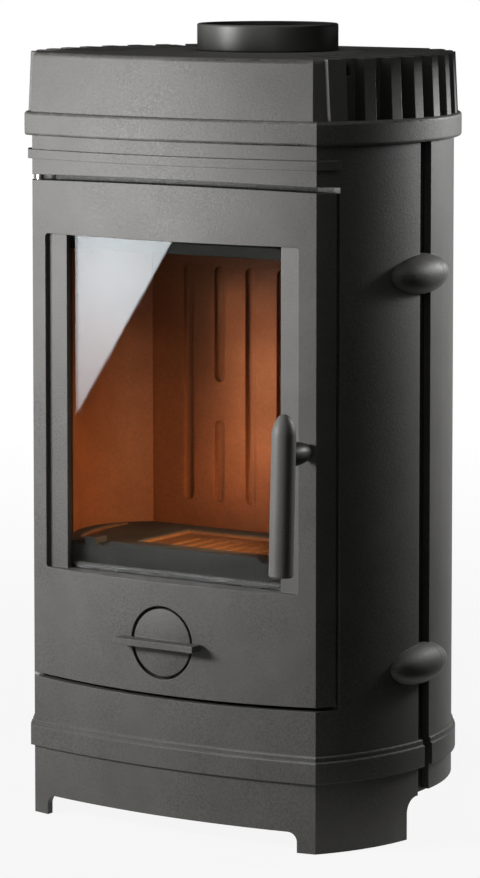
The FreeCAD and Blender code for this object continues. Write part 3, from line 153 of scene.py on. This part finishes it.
class StoveStage(bpy.types.PropertyGroup):
    """Floor, lamps and camera."""

    floor: FloatVectorProperty(
        name="Floor", description="Colour of the floor", subtype="COLOR", size=4,
        min=0, max=1, default=linear("#b8b8b6"))
    ambient: FloatProperty(
        name="Ambient", description="Strength of the even light from all round", default=0.06)
    lens: FloatProperty(
        name="Lens", description="Focal length of the camera", default=166.155, unit="CAMERA")
    eye: FloatVectorProperty(
        name="Eye", description="Place of the camera", subtype="TRANSLATION", size=3,
        default=(2.3643, -3.5487, 0.9764))
    tilt: FloatProperty(
        name="Tilt", description="How far the camera looks down",
        default=math.radians(5.237), unit="ROTATION")
    turn: FloatProperty(
        name="Turn", description="How far the camera is turned to the left",
        default=math.radians(33.717), unit="ROTATION")
    shift: FloatProperty(
        name="Shift", description="Rise of the picture in the camera", default=-0.2)


def start(name):
    """An empty material and its node tree."""
    made = bpy.data.materials.new(name)
    made.use_nodes = True
    made.node_tree.nodes.clear()
    return made, made.node_tree


def edge_mask(tree, rounded, strength):
    """The strength along the edges, where the rounded normal leaves the flat one, and 0 elsewhere."""
    flat = add(tree, "ShaderNodeNewGeometry", output="Normal")
    along = add(tree, "ShaderNodeVectorMath", {0: rounded, 1: flat}, "Value", operation="DOT_PRODUCT")
    return add(tree, "ShaderNodeMapRange", {
        "Value": along, "From Min": 0.8, "From Max": 0.995, "To Min": strength, "To Max": 0})


def below(level):
    """A mask of what lies under a level."""
    def mask(tree, place):
        height = add(tree, "ShaderNodeSeparateXYZ", {0: place}, "Z")
        return add(tree, "ShaderNodeMapRange", {
            "Value": height, "From Min": level - FADE, "From Max": level + FADE, **FALLING})
    return mask


def inside_round(radius, middle):
    """A mask of what lies inside an upright cylinder round (0, middle)."""
    def mask(tree, place):
        flat = add(tree, "ShaderNodeVectorMath", {0: place, 1: (1, 1, 0)}, operation="MULTIPLY")
        away = add(tree, "ShaderNodeVectorMath", {0: flat, 1: (0, middle, 0)}, "Value", operation="DISTANCE")
        return add(tree, "ShaderNodeMapRange", {
            "Value": away, "From Min": radius - FADE, "From Max": radius + FADE, **FALLING})
    return mask


def both(first, second):
    """A mask of what lies in two masks."""
    def mask(tree, place):
        parts = {0: first(tree, place), 1: second(tree, place)}
        return add(tree, "ShaderNodeMath", parts, operation="MULTIPLY")
    return mask


def sand_cast_iron(name, shade, light, grain, edge, rough=0.56, depth=0.35 * MM, gloss=0.4, overlay=None):
    """Stove paint on sand-cast iron: matt and even, with the mould's grain and edges made paler as a painted
    highlight.

    The grain is drawn coarser than real moulding sand, so that it shows in the render.
    """
    made, tree = start(name)
    place = add(tree, "ShaderNodeTexCoord", output="Object")
    cloud_size, patch_size = 45 * MM, 110 * MM
    grit = add(tree, "ShaderNodeTexNoise", {
        "Vector": place, "Scale": 1 / grain, "Detail": 4, "Roughness": 0.65})
    cloud = add(tree, "ShaderNodeTexNoise", {
        "Vector": place, "Scale": 1 / cloud_size, "Detail": 2, "Roughness": 0.55})
    patch = add(tree, "ShaderNodeTexNoise", {
        "Vector": place, "Scale": 1 / patch_size, "Detail": 2, "Roughness": 0.55})
    rounded = add(tree, "ShaderNodeBevel", {"Radius": edge}, samples=6)
    cloudy = add(tree, "ShaderNodeMapRange", {"Value": cloud, **MIDDLE})
    tone = add(tree, "ShaderNodeMix", {
        "Factor": cloudy, FIRST: shade, SECOND: light}, MIXED, data_type="RGBA")
    # An overlay colour over a mask: painted shade in the door's seat and painted light in the hearth's
    # hollows.
    if overlay:
        colour, mask = overlay
        tone = add(tree, "ShaderNodeMix", {
            "Factor": mask(tree, place), FIRST: tone, SECOND: colour}, MIXED, data_type="RGBA")
    # The grain's pits are dark, and more so in some patches than in others.
    pits = add(tree, "ShaderNodeMapRange", {
        "Value": grit, "From Min": 0.38, "From Max": 0.56, "To Min": 0.85, "To Max": 0})
    patchy = add(tree, "ShaderNodeMapRange", {"Value": patch, **MIDDLE, "To Min": 0.1})
    dark = add(tree, "ShaderNodeMath", {0: pits, 1: patchy}, operation="MULTIPLY")
    speck = add(tree, "ShaderNodeMix", {
        "Factor": dark, FIRST: tone, SECOND: scaled(shade, 0.5)}, MIXED, data_type="RGBA")
    # Painted highlight: the edges are made paler, as if they caught the light.
    painted_edge_highlight = add(tree, "ShaderNodeMix", {
        "Factor": edge_mask(tree, rounded, 0.35), FIRST: speck, SECOND: scaled(light, 1.7)},
        MIXED, data_type="RGBA")
    swell = add(tree, "ShaderNodeBump", {
        "Height": cloud, "Strength": 0.15, "Distance": 0.5 * MM, "Normal": rounded})
    bump = add(tree, "ShaderNodeBump", {
        "Height": grit, "Strength": 0.75, "Distance": depth, "Normal": swell})
    matt = add(tree, "ShaderNodeMapRange", {
        "Value": grit, **MIDDLE, "To Min": rough - 0.08, "To Max": rough + 0.1})
    skin = add(tree, "ShaderNodeBsdfPrincipled", {
        "Base Color": painted_edge_highlight, "Roughness": matt, "Specular IOR Level": gloss, "Normal": bump})
    add(tree, "ShaderNodeOutputMaterial", {"Surface": skin})
    return made


def fired_clay(name, clay, soot_and_painted_shade, grain, low, high):
    """Terracotta lining: matt, cloudy, and darker towards its top, as soot and as painted shade."""
    made, tree = start(name)
    place = add(tree, "ShaderNodeTexCoord", output="Object")
    height = add(tree, "ShaderNodeSeparateXYZ", {0: place}, "Z")
    smoke_size, edge = 90 * MM, 1.5 * MM
    smoke = add(tree, "ShaderNodeTexNoise", {
        "Vector": place, "Scale": 1 / smoke_size, "Detail": 4, "Roughness": 0.55})
    grit = add(tree, "ShaderNodeTexNoise", {
        "Vector": place, "Scale": 1 / grain, "Detail": 3, "Roughness": 0.55})
    # Soot and painted shade: the lining darkens towards its top, unevenly.
    rise = add(tree, "ShaderNodeMapRange", {"Value": height, "From Min": low, "From Max": high})
    uneven = add(tree, "ShaderNodeMapRange", {"Value": smoke, **MIDDLE, "To Min": -0.3, "To Max": 0.3})
    overlay = add(tree, "ShaderNodeMath", {0: rise, 1: uneven}, operation="ADD", use_clamp=True)
    tone = add(tree, "ShaderNodeMix", {"Factor": overlay, FIRST: clay, SECOND: soot_and_painted_shade}, MIXED, data_type="RGBA")
    pits = add(tree, "ShaderNodeMapRange", {"Value": grit, **MIDDLE, "To Min": 0.3, "To Max": 0})
    speck = add(tree, "ShaderNodeMix", {
        "Factor": pits, FIRST: tone, SECOND: scaled(soot_and_painted_shade, 0.6)}, MIXED, data_type="RGBA")
    rounded = add(tree, "ShaderNodeBevel", {"Radius": edge}, samples=6)
    bump = add(tree, "ShaderNodeBump", {
        "Height": grit, "Strength": 0.5, "Distance": 0.15 * MM, "Normal": rounded})
    matt = add(tree, "ShaderNodeMapRange", {"Value": smoke, **MIDDLE, "To Min": 0.6, "To Max": 0.75})
    skin = add(tree, "ShaderNodeBsdfPrincipled", {"Base Color": speck, "Roughness": matt, "Normal": bump})
    add(tree, "ShaderNodeOutputMaterial", {"Surface": skin})
    return made


def rolled_steel(name, shade, light, rough, scratch):
    """Plain rolled steel: a dull metal with fine drawn lines and cloudy tarnish."""
    made, tree = start(name)
    place = add(tree, "ShaderNodeTexCoord", output="Object")
    drawn = add(tree, "ShaderNodeMapping", {"Vector": place, "Scale": (1, 1, 0.06)})
    tarnish_size, edge = 22 * MM, 0.5 * MM
    lines = add(tree, "ShaderNodeTexNoise", {
        "Vector": drawn, "Scale": 1 / scratch, "Detail": 4, "Roughness": 0.7})
    tarnish = add(tree, "ShaderNodeTexNoise", {
        "Vector": place, "Scale": 1 / tarnish_size, "Detail": 3, "Roughness": 0.55})
    cloudy = add(tree, "ShaderNodeMapRange", {"Value": tarnish, **MIDDLE})
    tone = add(tree, "ShaderNodeMix", {
        "Factor": cloudy, FIRST: shade, SECOND: light}, MIXED, data_type="RGBA")
    rounded = add(tree, "ShaderNodeBevel", {"Radius": edge}, samples=4)
    bump = add(tree, "ShaderNodeBump", {
        "Height": lines, "Strength": 0.35, "Distance": 0.04 * MM, "Normal": rounded})
    dull = add(tree, "ShaderNodeMapRange", {
        "Value": lines, **MIDDLE, "To Min": rough - 0.08, "To Max": rough + 0.12})
    skin = add(tree, "ShaderNodeBsdfPrincipled", {
        "Base Color": tone, "Metallic": 1.0, "Roughness": dull, "Normal": bump})
    add(tree, "ShaderNodeOutputMaterial", {"Surface": skin})
    return made


def heatproof_glass(name):
    """Clear glass-ceramic pane: smooth, barely tinted, with faint wipe marks in its gloss."""
    made, tree = start(name)
    place = add(tree, "ShaderNodeTexCoord", output="Object")
    wipe_size = 60 * MM
    wipe = add(tree, "ShaderNodeTexNoise", {
        "Vector": place, "Scale": 1 / wipe_size, "Detail": 2, "Roughness": 0.55})
    marks = add(tree, "ShaderNodeMapRange", {"Value": wipe, **MIDDLE, "To Max": 0.02})
    clear = add(tree, "ShaderNodeBsdfPrincipled", {
        "Base Color": linear("#f6f8f7"), "Roughness": marks, "IOR": 1.53, "Transmission Weight": 1.0})
    add(tree, "ShaderNodeOutputMaterial", {"Surface": clear})
    return made


def woven_fibre(name, shade, light, thread):
    """Glass-fibre yarn: soft and dusty, with single threads just showing."""
    made, tree = start(name)
    place = add(tree, "ShaderNodeTexCoord", output="Object")
    dust_size = 30 * MM
    yarn = add(tree, "ShaderNodeTexNoise", {
        "Vector": place, "Scale": 1 / thread, "Detail": 4, "Roughness": 0.7})
    dust = add(tree, "ShaderNodeTexNoise", {
        "Vector": place, "Scale": 1 / dust_size, "Detail": 3, "Roughness": 0.55})
    dusty = add(tree, "ShaderNodeMapRange", {"Value": dust, **MIDDLE})
    tone = add(tree, "ShaderNodeMix", {
        "Factor": dusty, FIRST: shade, SECOND: light}, MIXED, data_type="RGBA")
    gaps = add(tree, "ShaderNodeMapRange", {"Value": yarn, **MIDDLE, "To Min": 0.5, "To Max": 0})
    speck = add(tree, "ShaderNodeMix", {
        "Factor": gaps, FIRST: tone, SECOND: scaled(shade, 0.5)}, MIXED, data_type="RGBA")
    bump = add(tree, "ShaderNodeBump", {"Height": yarn, "Strength": 0.6, "Distance": 0.2 * MM})
    skin = add(tree, "ShaderNodeBsdfPrincipled", {
        "Base Color": speck, "Roughness": 0.9, "Sheen Weight": 0.3, "Sheen Roughness": 0.5, "Normal": bump})
    add(tree, "ShaderNodeOutputMaterial", {"Surface": skin})
    return made


def dress(material, *names):
    """Give CAD nodes a finish."""
    for name in names:
        mesh = NODES[name].data
        mesh.materials.clear()
        mesh.materials.append(material)


def piece(name, mesh, body, node):
    """A finished piece that rides on a body, keeps its mesh's finish and stands for a CAD node."""
    made = bpy.data.objects.new(name, mesh)
    bpy.context.scene.collection.objects.link(made)
    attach(made, body)
    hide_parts(node)


def loop_mesh(name, points):
    """A closed path of points and edges."""
    mesh = bpy.data.meshes.new(name)
    count = len(points)
    mesh.from_pydata(points, [(i, (i + 1) % count) for i in range(count)], [])
    return mesh


def rounded_frame(half, low, high, corner, steps=8):
    """Points (x, z) round an upright frame with rounded corners."""
    points = []
    corners = ((half, low, -90), (half, high, 0), (-half, high, 90), (-half, low, 180))
    for x, z, turn in corners:
        middle_x = x - math.copysign(corner, x)
        middle_z = z + corner if z == low else z - corner
        for step in range(steps + 1):
            angle = math.radians(turn + 90 * step / steps)
            points.append((middle_x + corner * math.cos(angle), middle_z + corner * math.sin(angle)))
    return points


def fine(points, gap):
    """The same closed path with points no further apart than the gap."""
    made = []
    for number, (x, z) in enumerate(points):
        far_x, far_z = points[(number + 1) % len(points)]
        parts = max(1, math.ceil(math.hypot(far_x - x, far_z - z) / gap))
        made += [(x + (far_x - x) * k / parts, z + (far_z - z) * k / parts) for k in range(parts)]
    return made


def grow(name, path, tree, sizes, material):
    """Run a Geometry Nodes tree on a path and keep its result as a plain mesh."""
    source = bpy.data.objects.new(name + "_path", path)
    bpy.context.scene.collection.objects.link(source)
    modifier = source.modifiers.new("grow", "NODES")
    modifier.node_group = tree
    for item in tree.interface.items_tree:
        if item.item_type == "SOCKET" and item.in_out == "INPUT" and item.name in sizes:
            modifier[item.identifier] = sizes[item.name]
    shaped = source.evaluated_get(bpy.context.evaluated_depsgraph_get())
    mesh = bpy.data.meshes.new_from_object(shaped)
    mesh.name = name
    bpy.data.objects.remove(source)
    mesh.materials.clear()
    mesh.materials.append(material)
    return mesh


def node_tree(name, *sizes):
    """A Geometry Nodes tree with a geometry input and named size inputs."""
    tree = bpy.data.node_groups.new(name, "GeometryNodeTree")
    tree.interface.new_socket("Geometry", in_out="INPUT", socket_type="NodeSocketGeometry")
    for label in sizes:
        tree.interface.new_socket(label, in_out="INPUT", socket_type="NodeSocketFloat")
    tree.interface.new_socket("Geometry", in_out="OUTPUT", socket_type="NodeSocketGeometry")
    return tree, add(tree, "NodeGroupInput").node.outputs


def end_tree(tree, shape, material):
    """Realize the shape, give it its material and send it out."""
    real = add(tree, "GeometryNodeRealizeInstances", {0: shape})
    coated = add(tree, "GeometryNodeSetMaterial", {"Geometry": real, "Material": material})
    add(tree, "NodeGroupOutput", {0: coated})


def rope_tree(material):
    """Strands that wind both ways round the path, over a soft core."""
    tree, sizes = node_tree("braided_rope", "Radius", "Strand", "Turns")
    curve = add(tree, "GeometryNodeMeshToCurve", {0: sizes["Geometry"]})
    factor = add(tree, "GeometryNodeSplineParameter", output="Factor")
    tangent = add(tree, "GeometryNodeInputTangent")
    depth = (0, 1, 0)
    side = add(tree, "ShaderNodeVectorMath", {0: tangent, 1: depth}, operation="CROSS_PRODUCT")
    out = add(tree, "ShaderNodeMath", {0: sizes["Radius"], 1: sizes["Strand"]}, operation="SUBTRACT")
    thread = add(tree, "GeometryNodeCurvePrimitiveCircle", {"Resolution": 6, "Radius": sizes["Strand"]})
    core = add(tree, "GeometryNodeCurvePrimitiveCircle", {"Resolution": 10, "Radius": out})
    tubes = [add(tree, "GeometryNodeCurveToMesh", {"Curve": curve, "Profile Curve": core})]
    turned = add(tree, "ShaderNodeMath", {0: factor, 1: sizes["Turns"]}, operation="MULTIPLY")
    strands = 4
    for way in (1, -1):
        wound = add(tree, "ShaderNodeMath", {0: turned, 1: way * math.tau}, operation="MULTIPLY")
        for strand in range(strands):
            angle = add(tree, "ShaderNodeMath", {0: wound, 1: strand * math.tau / strands}, operation="ADD")
            arms = []
            for wave, axis in (("COSINE", side), ("SINE", depth)):
                reach = add(tree, "ShaderNodeMath", {0: angle}, operation=wave)
                far = add(tree, "ShaderNodeMath", {0: reach, 1: out}, operation="MULTIPLY")
                arms.append(add(tree, "ShaderNodeVectorMath", {0: axis, "Scale": far}, operation="SCALE"))
            offset = add(tree, "ShaderNodeVectorMath", {0: arms[0], 1: arms[1]}, operation="ADD")
            moved = add(tree, "GeometryNodeSetPosition", {"Geometry": curve, "Offset": offset})
            tubes.append(add(tree, "GeometryNodeCurveToMesh", {"Curve": moved, "Profile Curve": thread}))
    joined = add(tree, "GeometryNodeJoinGeometry")
    for tube in tubes:
        tree.links.new(tube, joined.node.inputs[0])
    end_tree(tree, joined, material)
    return tree


def rib_tree(material):
    """Short threads laid across the path, one after another."""
    tree, sizes = node_tree("cross_threads", "Pitch", "Width", "Thickness")
    curve = add(tree, "GeometryNodeMeshToCurve", {0: sizes["Geometry"]})
    points = add(tree, "GeometryNodeCurveToPoints", {"Curve": curve, "Length": sizes["Pitch"]}, mode="LENGTH")
    tangent = points.node.outputs["Tangent"]
    across = add(tree, "FunctionNodeAlignRotationToVector", {"Vector": tangent}, axis="Z")
    aligned = add(tree, "FunctionNodeAlignRotationToVector", {
        "Rotation": across, "Vector": (0, 1, 0)}, axis="X", pivot_axis="Z")
    size = add(tree, "ShaderNodeCombineXYZ", {
        "X": sizes["Thickness"], "Y": sizes["Width"], "Z": sizes["Pitch"]})
    bead = add(tree, "GeometryNodeMeshUVSphere", {"Segments": 8, "Rings": 6, "Radius": 0.5})
    threads = add(tree, "GeometryNodeInstanceOnPoints", {
        "Points": points, "Instance": bead, "Rotation": aligned, "Scale": size})
    end_tree(tree, threads, material)
    return tree


class StoveCastings(bpy.types.Operator):
    """Paint the body castings, the cap and the door"""

    bl_idname = "stove.castings"
    bl_label = "Paint castings"

    def execute(self, context):
        paint = context.scene.stove_paint
        finish = (paint.shade, paint.light, paint.grain, paint.edge)
        iron = sand_cast_iron("anthracite_sand_cast_iron", *finish)
        dress(iron, "rear_shell", "top_cap", "door_frame", "log_guard", "air_knob")
        # The door's seat and the inside of the body are darkened near black: painted shade for the deep gap
        # round the door, and bare sooty iron inside the body.
        behind_door, behind_drum = 12 * MM, 6 * MM
        seat = inside_round(paint.bow - behind_door, paint.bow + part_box("door_frame")[0][1])
        inner = inside_round(paint.drum - behind_drum, 0)
        soot_and_painted_shade = (linear("#161514"), both(seat, inner))
        dress(sand_cast_iron("painted_shade_seat_cast_iron", *finish, overlay=soot_and_painted_shade), "front_shell")
        return {"FINISHED"}


class StoveFlue(bpy.types.Operator):
    """Finish the flue collar and its gasket"""

    bl_idname = "stove.flue"
    bl_label = "Finish flue"

    def execute(self, context):
        smooth = sand_cast_iron(
            "smooth_black_collar_iron", linear("#454543"), linear("#4e4e4c"), grain=1.2 * MM, edge=1.5 * MM,
            rough=0.42, depth=0.05 * MM)
        dress(smooth, "flue_collar")
        board = woven_fibre("gasket_board", linear("#77746b"), linear("#8d8a80"), thread=0.8 * MM)
        dress(board, "collar_gasket")
        return {"FINISHED"}


class StoveFirebox(bpy.types.Operator):
    """Finish the lining, the hearth and the steel inside"""

    bl_idname = "stove.firebox"
    bl_label = "Finish firebox"

    def execute(self, context):
        lining = context.scene.stove_lining
        low, high = (corner[2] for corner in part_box("fireback"))
        # The darkening towards the top would reach its full tone only well above the lining.
        darkening_reach = 300 * MM
        clay = fired_clay("terracotta_lining", lining.clay, lining.soot_and_painted_shade, lining.grain, low, high + darkening_reach)
        dress(clay, "fireback", "side_liner_left", "side_liner_right")
        # The baffle darkens towards its top like the lining, as soot and as painted shade.
        board = fired_clay(
            "baffle_board_soot_and_painted_shade", linear("#6b6862"), linear("#3c3a37"), lining.grain, low, high)
        dress(board, "baffle")
        dusty = {"grain": 2 * MM, "edge": 1 * MM, "rough": 0.7, "depth": 0.15 * MM, "gloss": 0.2}
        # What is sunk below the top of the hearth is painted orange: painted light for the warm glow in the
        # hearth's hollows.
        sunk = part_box("hearth_plate")[1][2] - 2 * MM
        hearth = sand_cast_iron(
            "dusty_hearth_iron_painted_glow", linear("#4a4744"), linear("#5a5652"), **dusty,
            overlay=(linear("#a8754e"), below(sunk)))
        dress(hearth, "hearth_plate")
        # Painted light: the grate is orange-brown for the glow that falls on it from the fire.
        grate_glow = sand_cast_iron("grate_iron_painted_glow", linear("#84583a"), linear("#9a6b48"), **dusty)
        dress(grate_glow, "grate")
        plate = rolled_steel(
            "dark_rolled_plate", linear("#3a3836"), linear("#4a4744"), rough=0.55, scratch=0.6 * MM)
        dress(plate, "firebox_shell", "firebox_top", "ash_pit_floor", "ash_pan")
        return {"FINISHED"}


class StoveGlass(bpy.types.Operator):
    """Set the pane in its woven tape"""

    bl_idname = "stove.glass"
    bl_label = "Set glass"

    def execute(self, context):
        seals = context.scene.stove_seals
        dress(heatproof_glass("clear_heatproof_glass"), "door_glass")
        low, high = map(Vector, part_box("glass_seal"))
        half = seals.tape / 2
        middle = (low.y + high.y) / 2
        path = rounded_frame(high.x - half, low.z + half, high.z - half, seals.tape_corner)
        line = loop_mesh("tape_line", [(x, middle, z) for x, z in path])
        # The tape is near black, as black graphite tape and as painted shade for the dark line along the
        # pane's lower edge.
        tape = woven_fibre("black_glass_tape", linear("#1f1e1d"), linear("#2b2a28"), thread=0.7 * MM)
        sizes = {"Pitch": seals.pitch, "Width": seals.tape, "Thickness": high.y - low.y}
        mesh = grow("glass_tape", line, rib_tree(tape), sizes, tape)
        piece("glass_tape", mesh, "door", "glass_seal")
        return {"FINISHED"}


class StoveRope(bpy.types.Operator):
    """Lay the braided rope seal in the door's groove"""

    bl_idname = "stove.rope"
    bl_label = "Lay rope seal"

    def execute(self, context):
        seals = context.scene.stove_seals
        radius = seals.rope
        low, high = map(Vector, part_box("door_rope_seal"))
        front = low.y + radius
        bow = context.scene.stove_paint.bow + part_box("door_frame")[0][1] - front
        path = rounded_frame(high.x - radius, low.z + radius, high.z - radius, seals.rope_corner)
        # The rope follows the bow of the door.
        points = [(x, front + bow - math.sqrt(bow ** 2 - x ** 2), z) for x, z in fine(path, gap=2 * MM)]
        yarn = woven_fibre("grey_glass_rope", linear("#8d8a82"), linear("#b4b1a8"), thread=0.6 * MM)
        sizes = {"Radius": radius, "Strand": seals.strand, "Turns": float(seals.turns)}
        mesh = grow("braided_rope_seal", loop_mesh("rope_line", points), rope_tree(yarn), sizes, yarn)
        piece("braided_rope_seal", mesh, "door", "door_rope_seal")
        return {"FINISHED"}


class StoveFittings(bpy.types.Operator):
    """Finish the handle, the latch, the hinge, the bolts and the air control"""

    bl_idname = "stove.fittings"
    bl_label = "Finish fittings"

    def execute(self, context):
        smooth = {"grain": 1.4 * MM, "edge": 1 * MM}
        # Painted light: the handle takes the body's paint made lighter, for the highlight on it.
        handle = sand_cast_iron(
            "satin_handle_iron_painted_light", linear("#5a5956"), linear("#62615e"), **smooth, rough=0.52, depth=0.08 * MM)
        dress(handle, "handle_bar")
        # Painted shade: the stem is near black for the handle's shadow on it.
        black = sand_cast_iron(
            "stem_black_as_painted_shade", linear("#1b1b1b"), linear("#242423"), **smooth, rough=0.45, depth=0.05 * MM)
        dress(black, "handle_stem")
        steel = rolled_steel(
            "plain_turned_steel", linear("#8b8a88"), linear("#a5a4a1"), rough=0.38, scratch=0.5 * MM)
        dress(steel, "shell_tie_studs", "collar_bolts", "glass_clips", "clip_screws", "hinge_pin_bottom",
              "hinge_pin_top", "hinge_washer", "latch_shaft", "latch_sleeve", "latch_tongue", "latch_nut",
              "latch_keeper", "air_spindle", "air_shutter", "spring_washer", "spindle_nut")
        return {"FINISHED"}


def lamp(name, place, target, watts, colour, size, beam):
    """A soft box that shines at a target with a beam in degrees, unseen itself, also through glass."""
    light = bpy.data.lights.new(name, "AREA")
    light.energy = watts
    light.color = colour[:3]
    light.shape = "RECTANGLE"
    light.size, light.size_y = size
    light.spread = math.radians(beam)
    made = bpy.data.objects.new(name, light)
    bpy.context.scene.collection.objects.link(made)
    turn = (Vector(target) - Vector(place)).to_track_quat("-Z", "Y").to_matrix().to_4x4()
    made.matrix_world = Matrix.Translation(place) @ turn
    made.visible_camera = False
    made.visible_transmission = False


def card(name, corners, material):
    """A flat piece of the stage."""
    mesh = bpy.data.meshes.new(name)
    mesh.from_pydata(corners, [], [range(len(corners))])
    mesh.materials.append(material)
    made = bpy.data.objects.new(name, mesh)
    bpy.context.scene.collection.objects.link(made)
    return made


def lying(low, high, level):
    """Corners of a lying card between two opposite corners (x, y)."""
    (left, front), (right, back) = low, high
    return [(left, front, level), (right, front, level), (right, back, level), (left, back, level)]


def standing(first, last, low, high, lean=0):
    """Corners of a standing card over a line (x, y) to (x, y), whose first edge may lean along x."""
    return [(*first, low), (*last, low), (*last, high), (first[0] + lean, first[1], high)]


def seen_rays(tree):
    """1 for camera, glossy and transmission rays, 0 for the light that falls on the stove."""
    path = add(tree, "ShaderNodeLightPath").node.outputs
    camera, glossy, through = (path[f"Is {kind} Ray"] for kind in ("Camera", "Glossy", "Transmission"))
    some = add(tree, "ShaderNodeMath", {0: camera, 1: glossy}, operation="MAXIMUM")
    return add(tree, "ShaderNodeMath", {0: some, 1: through}, operation="MAXIMUM")


class StoveStageSet(bpy.types.Operator):
    """Set the floor, the cards, the lamps and the camera"""

    bl_idname = "stove.stage"
    bl_label = "Set stage"

    def execute(self, context):
        stage = context.scene.stove_stage
        self.floor(stage)
        self.world(context.scene, stage)
        self.flags()
        self.pane_card()
        self.lamps()
        self.camera(context.scene, stage)
        context.scene.view_settings.view_transform = "Standard"
        return {"FINISHED"}

    def floor(self, stage):
        """A pale floor that is white from afar and lets the shadow show near the stove."""
        made, tree = start("pale_floor")
        matt = add(tree, "ShaderNodeBsdfDiffuse", {"Color": stage.floor})
        pale = add(tree, "ShaderNodeEmission", {"Color": WHITE, "Strength": 1.0})
        place = add(tree, "ShaderNodeTexCoord", output="Object")
        away = add(tree, "ShaderNodeVectorMath", {0: place}, "Value", operation="LENGTH")
        near, far, edge = 0.5, 3, 80
        glow = add(tree, "ShaderNodeMapRange", {
            "Value": away, "From Min": near, "From Max": far, "To Min": 0.9})
        share = add(tree, "ShaderNodeMath", {0: seen_rays(tree), 1: glow}, operation="MULTIPLY")
        shown = add(tree, "ShaderNodeMixShader", {0: share, 1: matt, 2: pale})
        add(tree, "ShaderNodeOutputMaterial", {"Surface": shown})
        card("floor", lying((-edge, -edge), (edge, edge), 0), made)

    def world(self, scene, stage):
        """White surroundings for what is seen, and a weak even light on the stove."""
        scene.world = scene.world or bpy.data.worlds.new("studio")
        scene.world.use_nodes = True
        tree = scene.world.node_tree
        tree.nodes.clear()
        strength = add(tree, "ShaderNodeMapRange", {"Value": seen_rays(tree), "To Min": stage.ambient})
        sky = add(tree, "ShaderNodeBackground", {"Color": WHITE, "Strength": strength})
        add(tree, "ShaderNodeOutputWorld", {"Surface": sky})

    def flags(self):
        """Black cards that keep the white surroundings and the rear lamp off the shaded faces."""
        made, tree = start("black_card")
        black = add(tree, "ShaderNodeBsdfDiffuse", {"Color": linear("#0c0c0c")})
        add(tree, "ShaderNodeOutputMaterial", {"Surface": black})
        # The pane mirrors the first card, and its slanted edge bounds the white that shows above it.
        flags = {
            "pane_flag": standing((-1.235, -1.45), (0.6, -1.45), low=0, high=1.4, lean=0.91),
            "side_flag": standing((1.5, -1.3), (2.1, 2.6), low=0, high=1.1),
            "rear_flag": standing((-3.2, 0.05), (1.2, 2.95), low=0.5, high=3.5),
            "cap_flag": standing((0.1, 0.5), (0.5, 0.1), low=0.805, high=1.2)}
        for name, corners in flags.items():
            card(name, corners, made).visible_camera = False
        floor_flag = card("floor_flag", lying((0.3, -0.9), (1.6, 1.3), level=4 * MM), made)
        floor_flag.visible_camera = False
        floor_flag.visible_shadow = False

    def pane_card(self):
        """A lit cloth that the pane mirrors, brightest in its middle."""
        made, tree = start("lit_cloth")
        left, right, back, top = -2.15, -1.5, -2.6, 0.5
        middle = (-1.85, back, 0.3)
        place = add(tree, "ShaderNodeTexCoord", output="Object")
        away = add(tree, "ShaderNodeVectorMath", {0: place, 1: middle}, "Value", operation="DISTANCE")
        strength = add(tree, "ShaderNodeMapRange", {
            "Value": away, "From Min": 0.03, "From Max": 0.28, "To Min": 7.6, "To Max": 3.4})
        cloth = add(tree, "ShaderNodeEmission", {"Color": linear("#f4faff"), "Strength": strength})
        add(tree, "ShaderNodeOutputMaterial", {"Surface": cloth})
        card("pane_card", standing((left, back), (right, back), low=0, high=top), made).visible_camera = False

    def lamps(self):
        """Two soft boxes outside, and two small ones for the light that falls in through the pane."""
        lamp("front_box", (-0.72, -1.06, 0.69), target=(0, -0.1, 0.68), watts=10.2, colour=WHITE,
             size=(0.5, 0.27), beam=112)
        lamp("rear_box", (0.7, 1.15, 0.9), target=(0.2, 0, 0.6), watts=4.4, colour=WHITE,
             size=(0.4, 0.2), beam=100)
        warm = linear("#ffd09c")
        lamp("liner_lamp", (0.1, -0.07, 0.36), target=(-0.16, -0.04, 0.34), watts=0.17, colour=warm,
             size=(0.06, 0.08), beam=100)
        lamp("ember_lamp", (-0.062, -0.055, 0.468), target=(0.063, 0.095, 0.42), watts=0.09, colour=warm,
             size=(0.11, 0.2), beam=60)

    def camera(self, scene, stage):
        """The camera that was fitted to the photo."""
        camera = bpy.data.cameras.new("photo_camera")
        camera.lens = stage.lens
        camera.sensor_width = 36
        camera.shift_y = stage.shift
        camera.clip_end = 100
        made = bpy.data.objects.new("photo_camera", camera)
        scene.collection.objects.link(made)
        made.location = stage.eye
        made.rotation_euler = (math.pi / 2 - stage.tilt, 0, stage.turn)
        scene.camera = made


class StovePanel(bpy.types.Panel):
    """The stove's pieces in the sidebar"""

    bl_idname = "STOVE_PT_pieces"
    bl_label = "Stove"
    bl_space_type = "VIEW_3D"
    bl_region_type = "UI"
    bl_category = "Stove"

    def draw(self, context):
        for group, kind in GROUPS.items():
            box = self.layout.box()
            for key in kind.__annotations__:
                box.prop(getattr(context.scene, group), key)
        for operator in OPERATORS:
            self.layout.operator(operator.bl_idname)


GROUPS = {
    "stove_paint": StovePaint,
    "stove_lining": StoveLining,
    "stove_seals": StoveSeals,
    "stove_stage": StoveStage,
}
OPERATORS = (StoveCastings, StoveFlue, StoveFirebox, StoveGlass, StoveRope, StoveFittings, StoveStageSet)


def register():
    for kind in (*GROUPS.values(), *OPERATORS, StovePanel):
        bpy.utils.register_class(kind)
    for group, kind in GROUPS.items():
        setattr(bpy.types.Scene, group, PointerProperty(type=kind))


def unregister():
    for group in GROUPS:
        delattr(bpy.types.Scene, group)
    for kind in reversed((*GROUPS.values(), *OPERATORS, StovePanel)):
        bpy.utils.unregister_class(kind)


def main():
    register()
    bpy.ops.stove.castings()
    bpy.ops.stove.flue()
    bpy.ops.stove.firebox()
    bpy.ops.stove.glass()
    bpy.ops.stove.rope()
    bpy.ops.stove.fittings()
    bpy.ops.stove.stage()


if __name__ == "__main__":
    main()
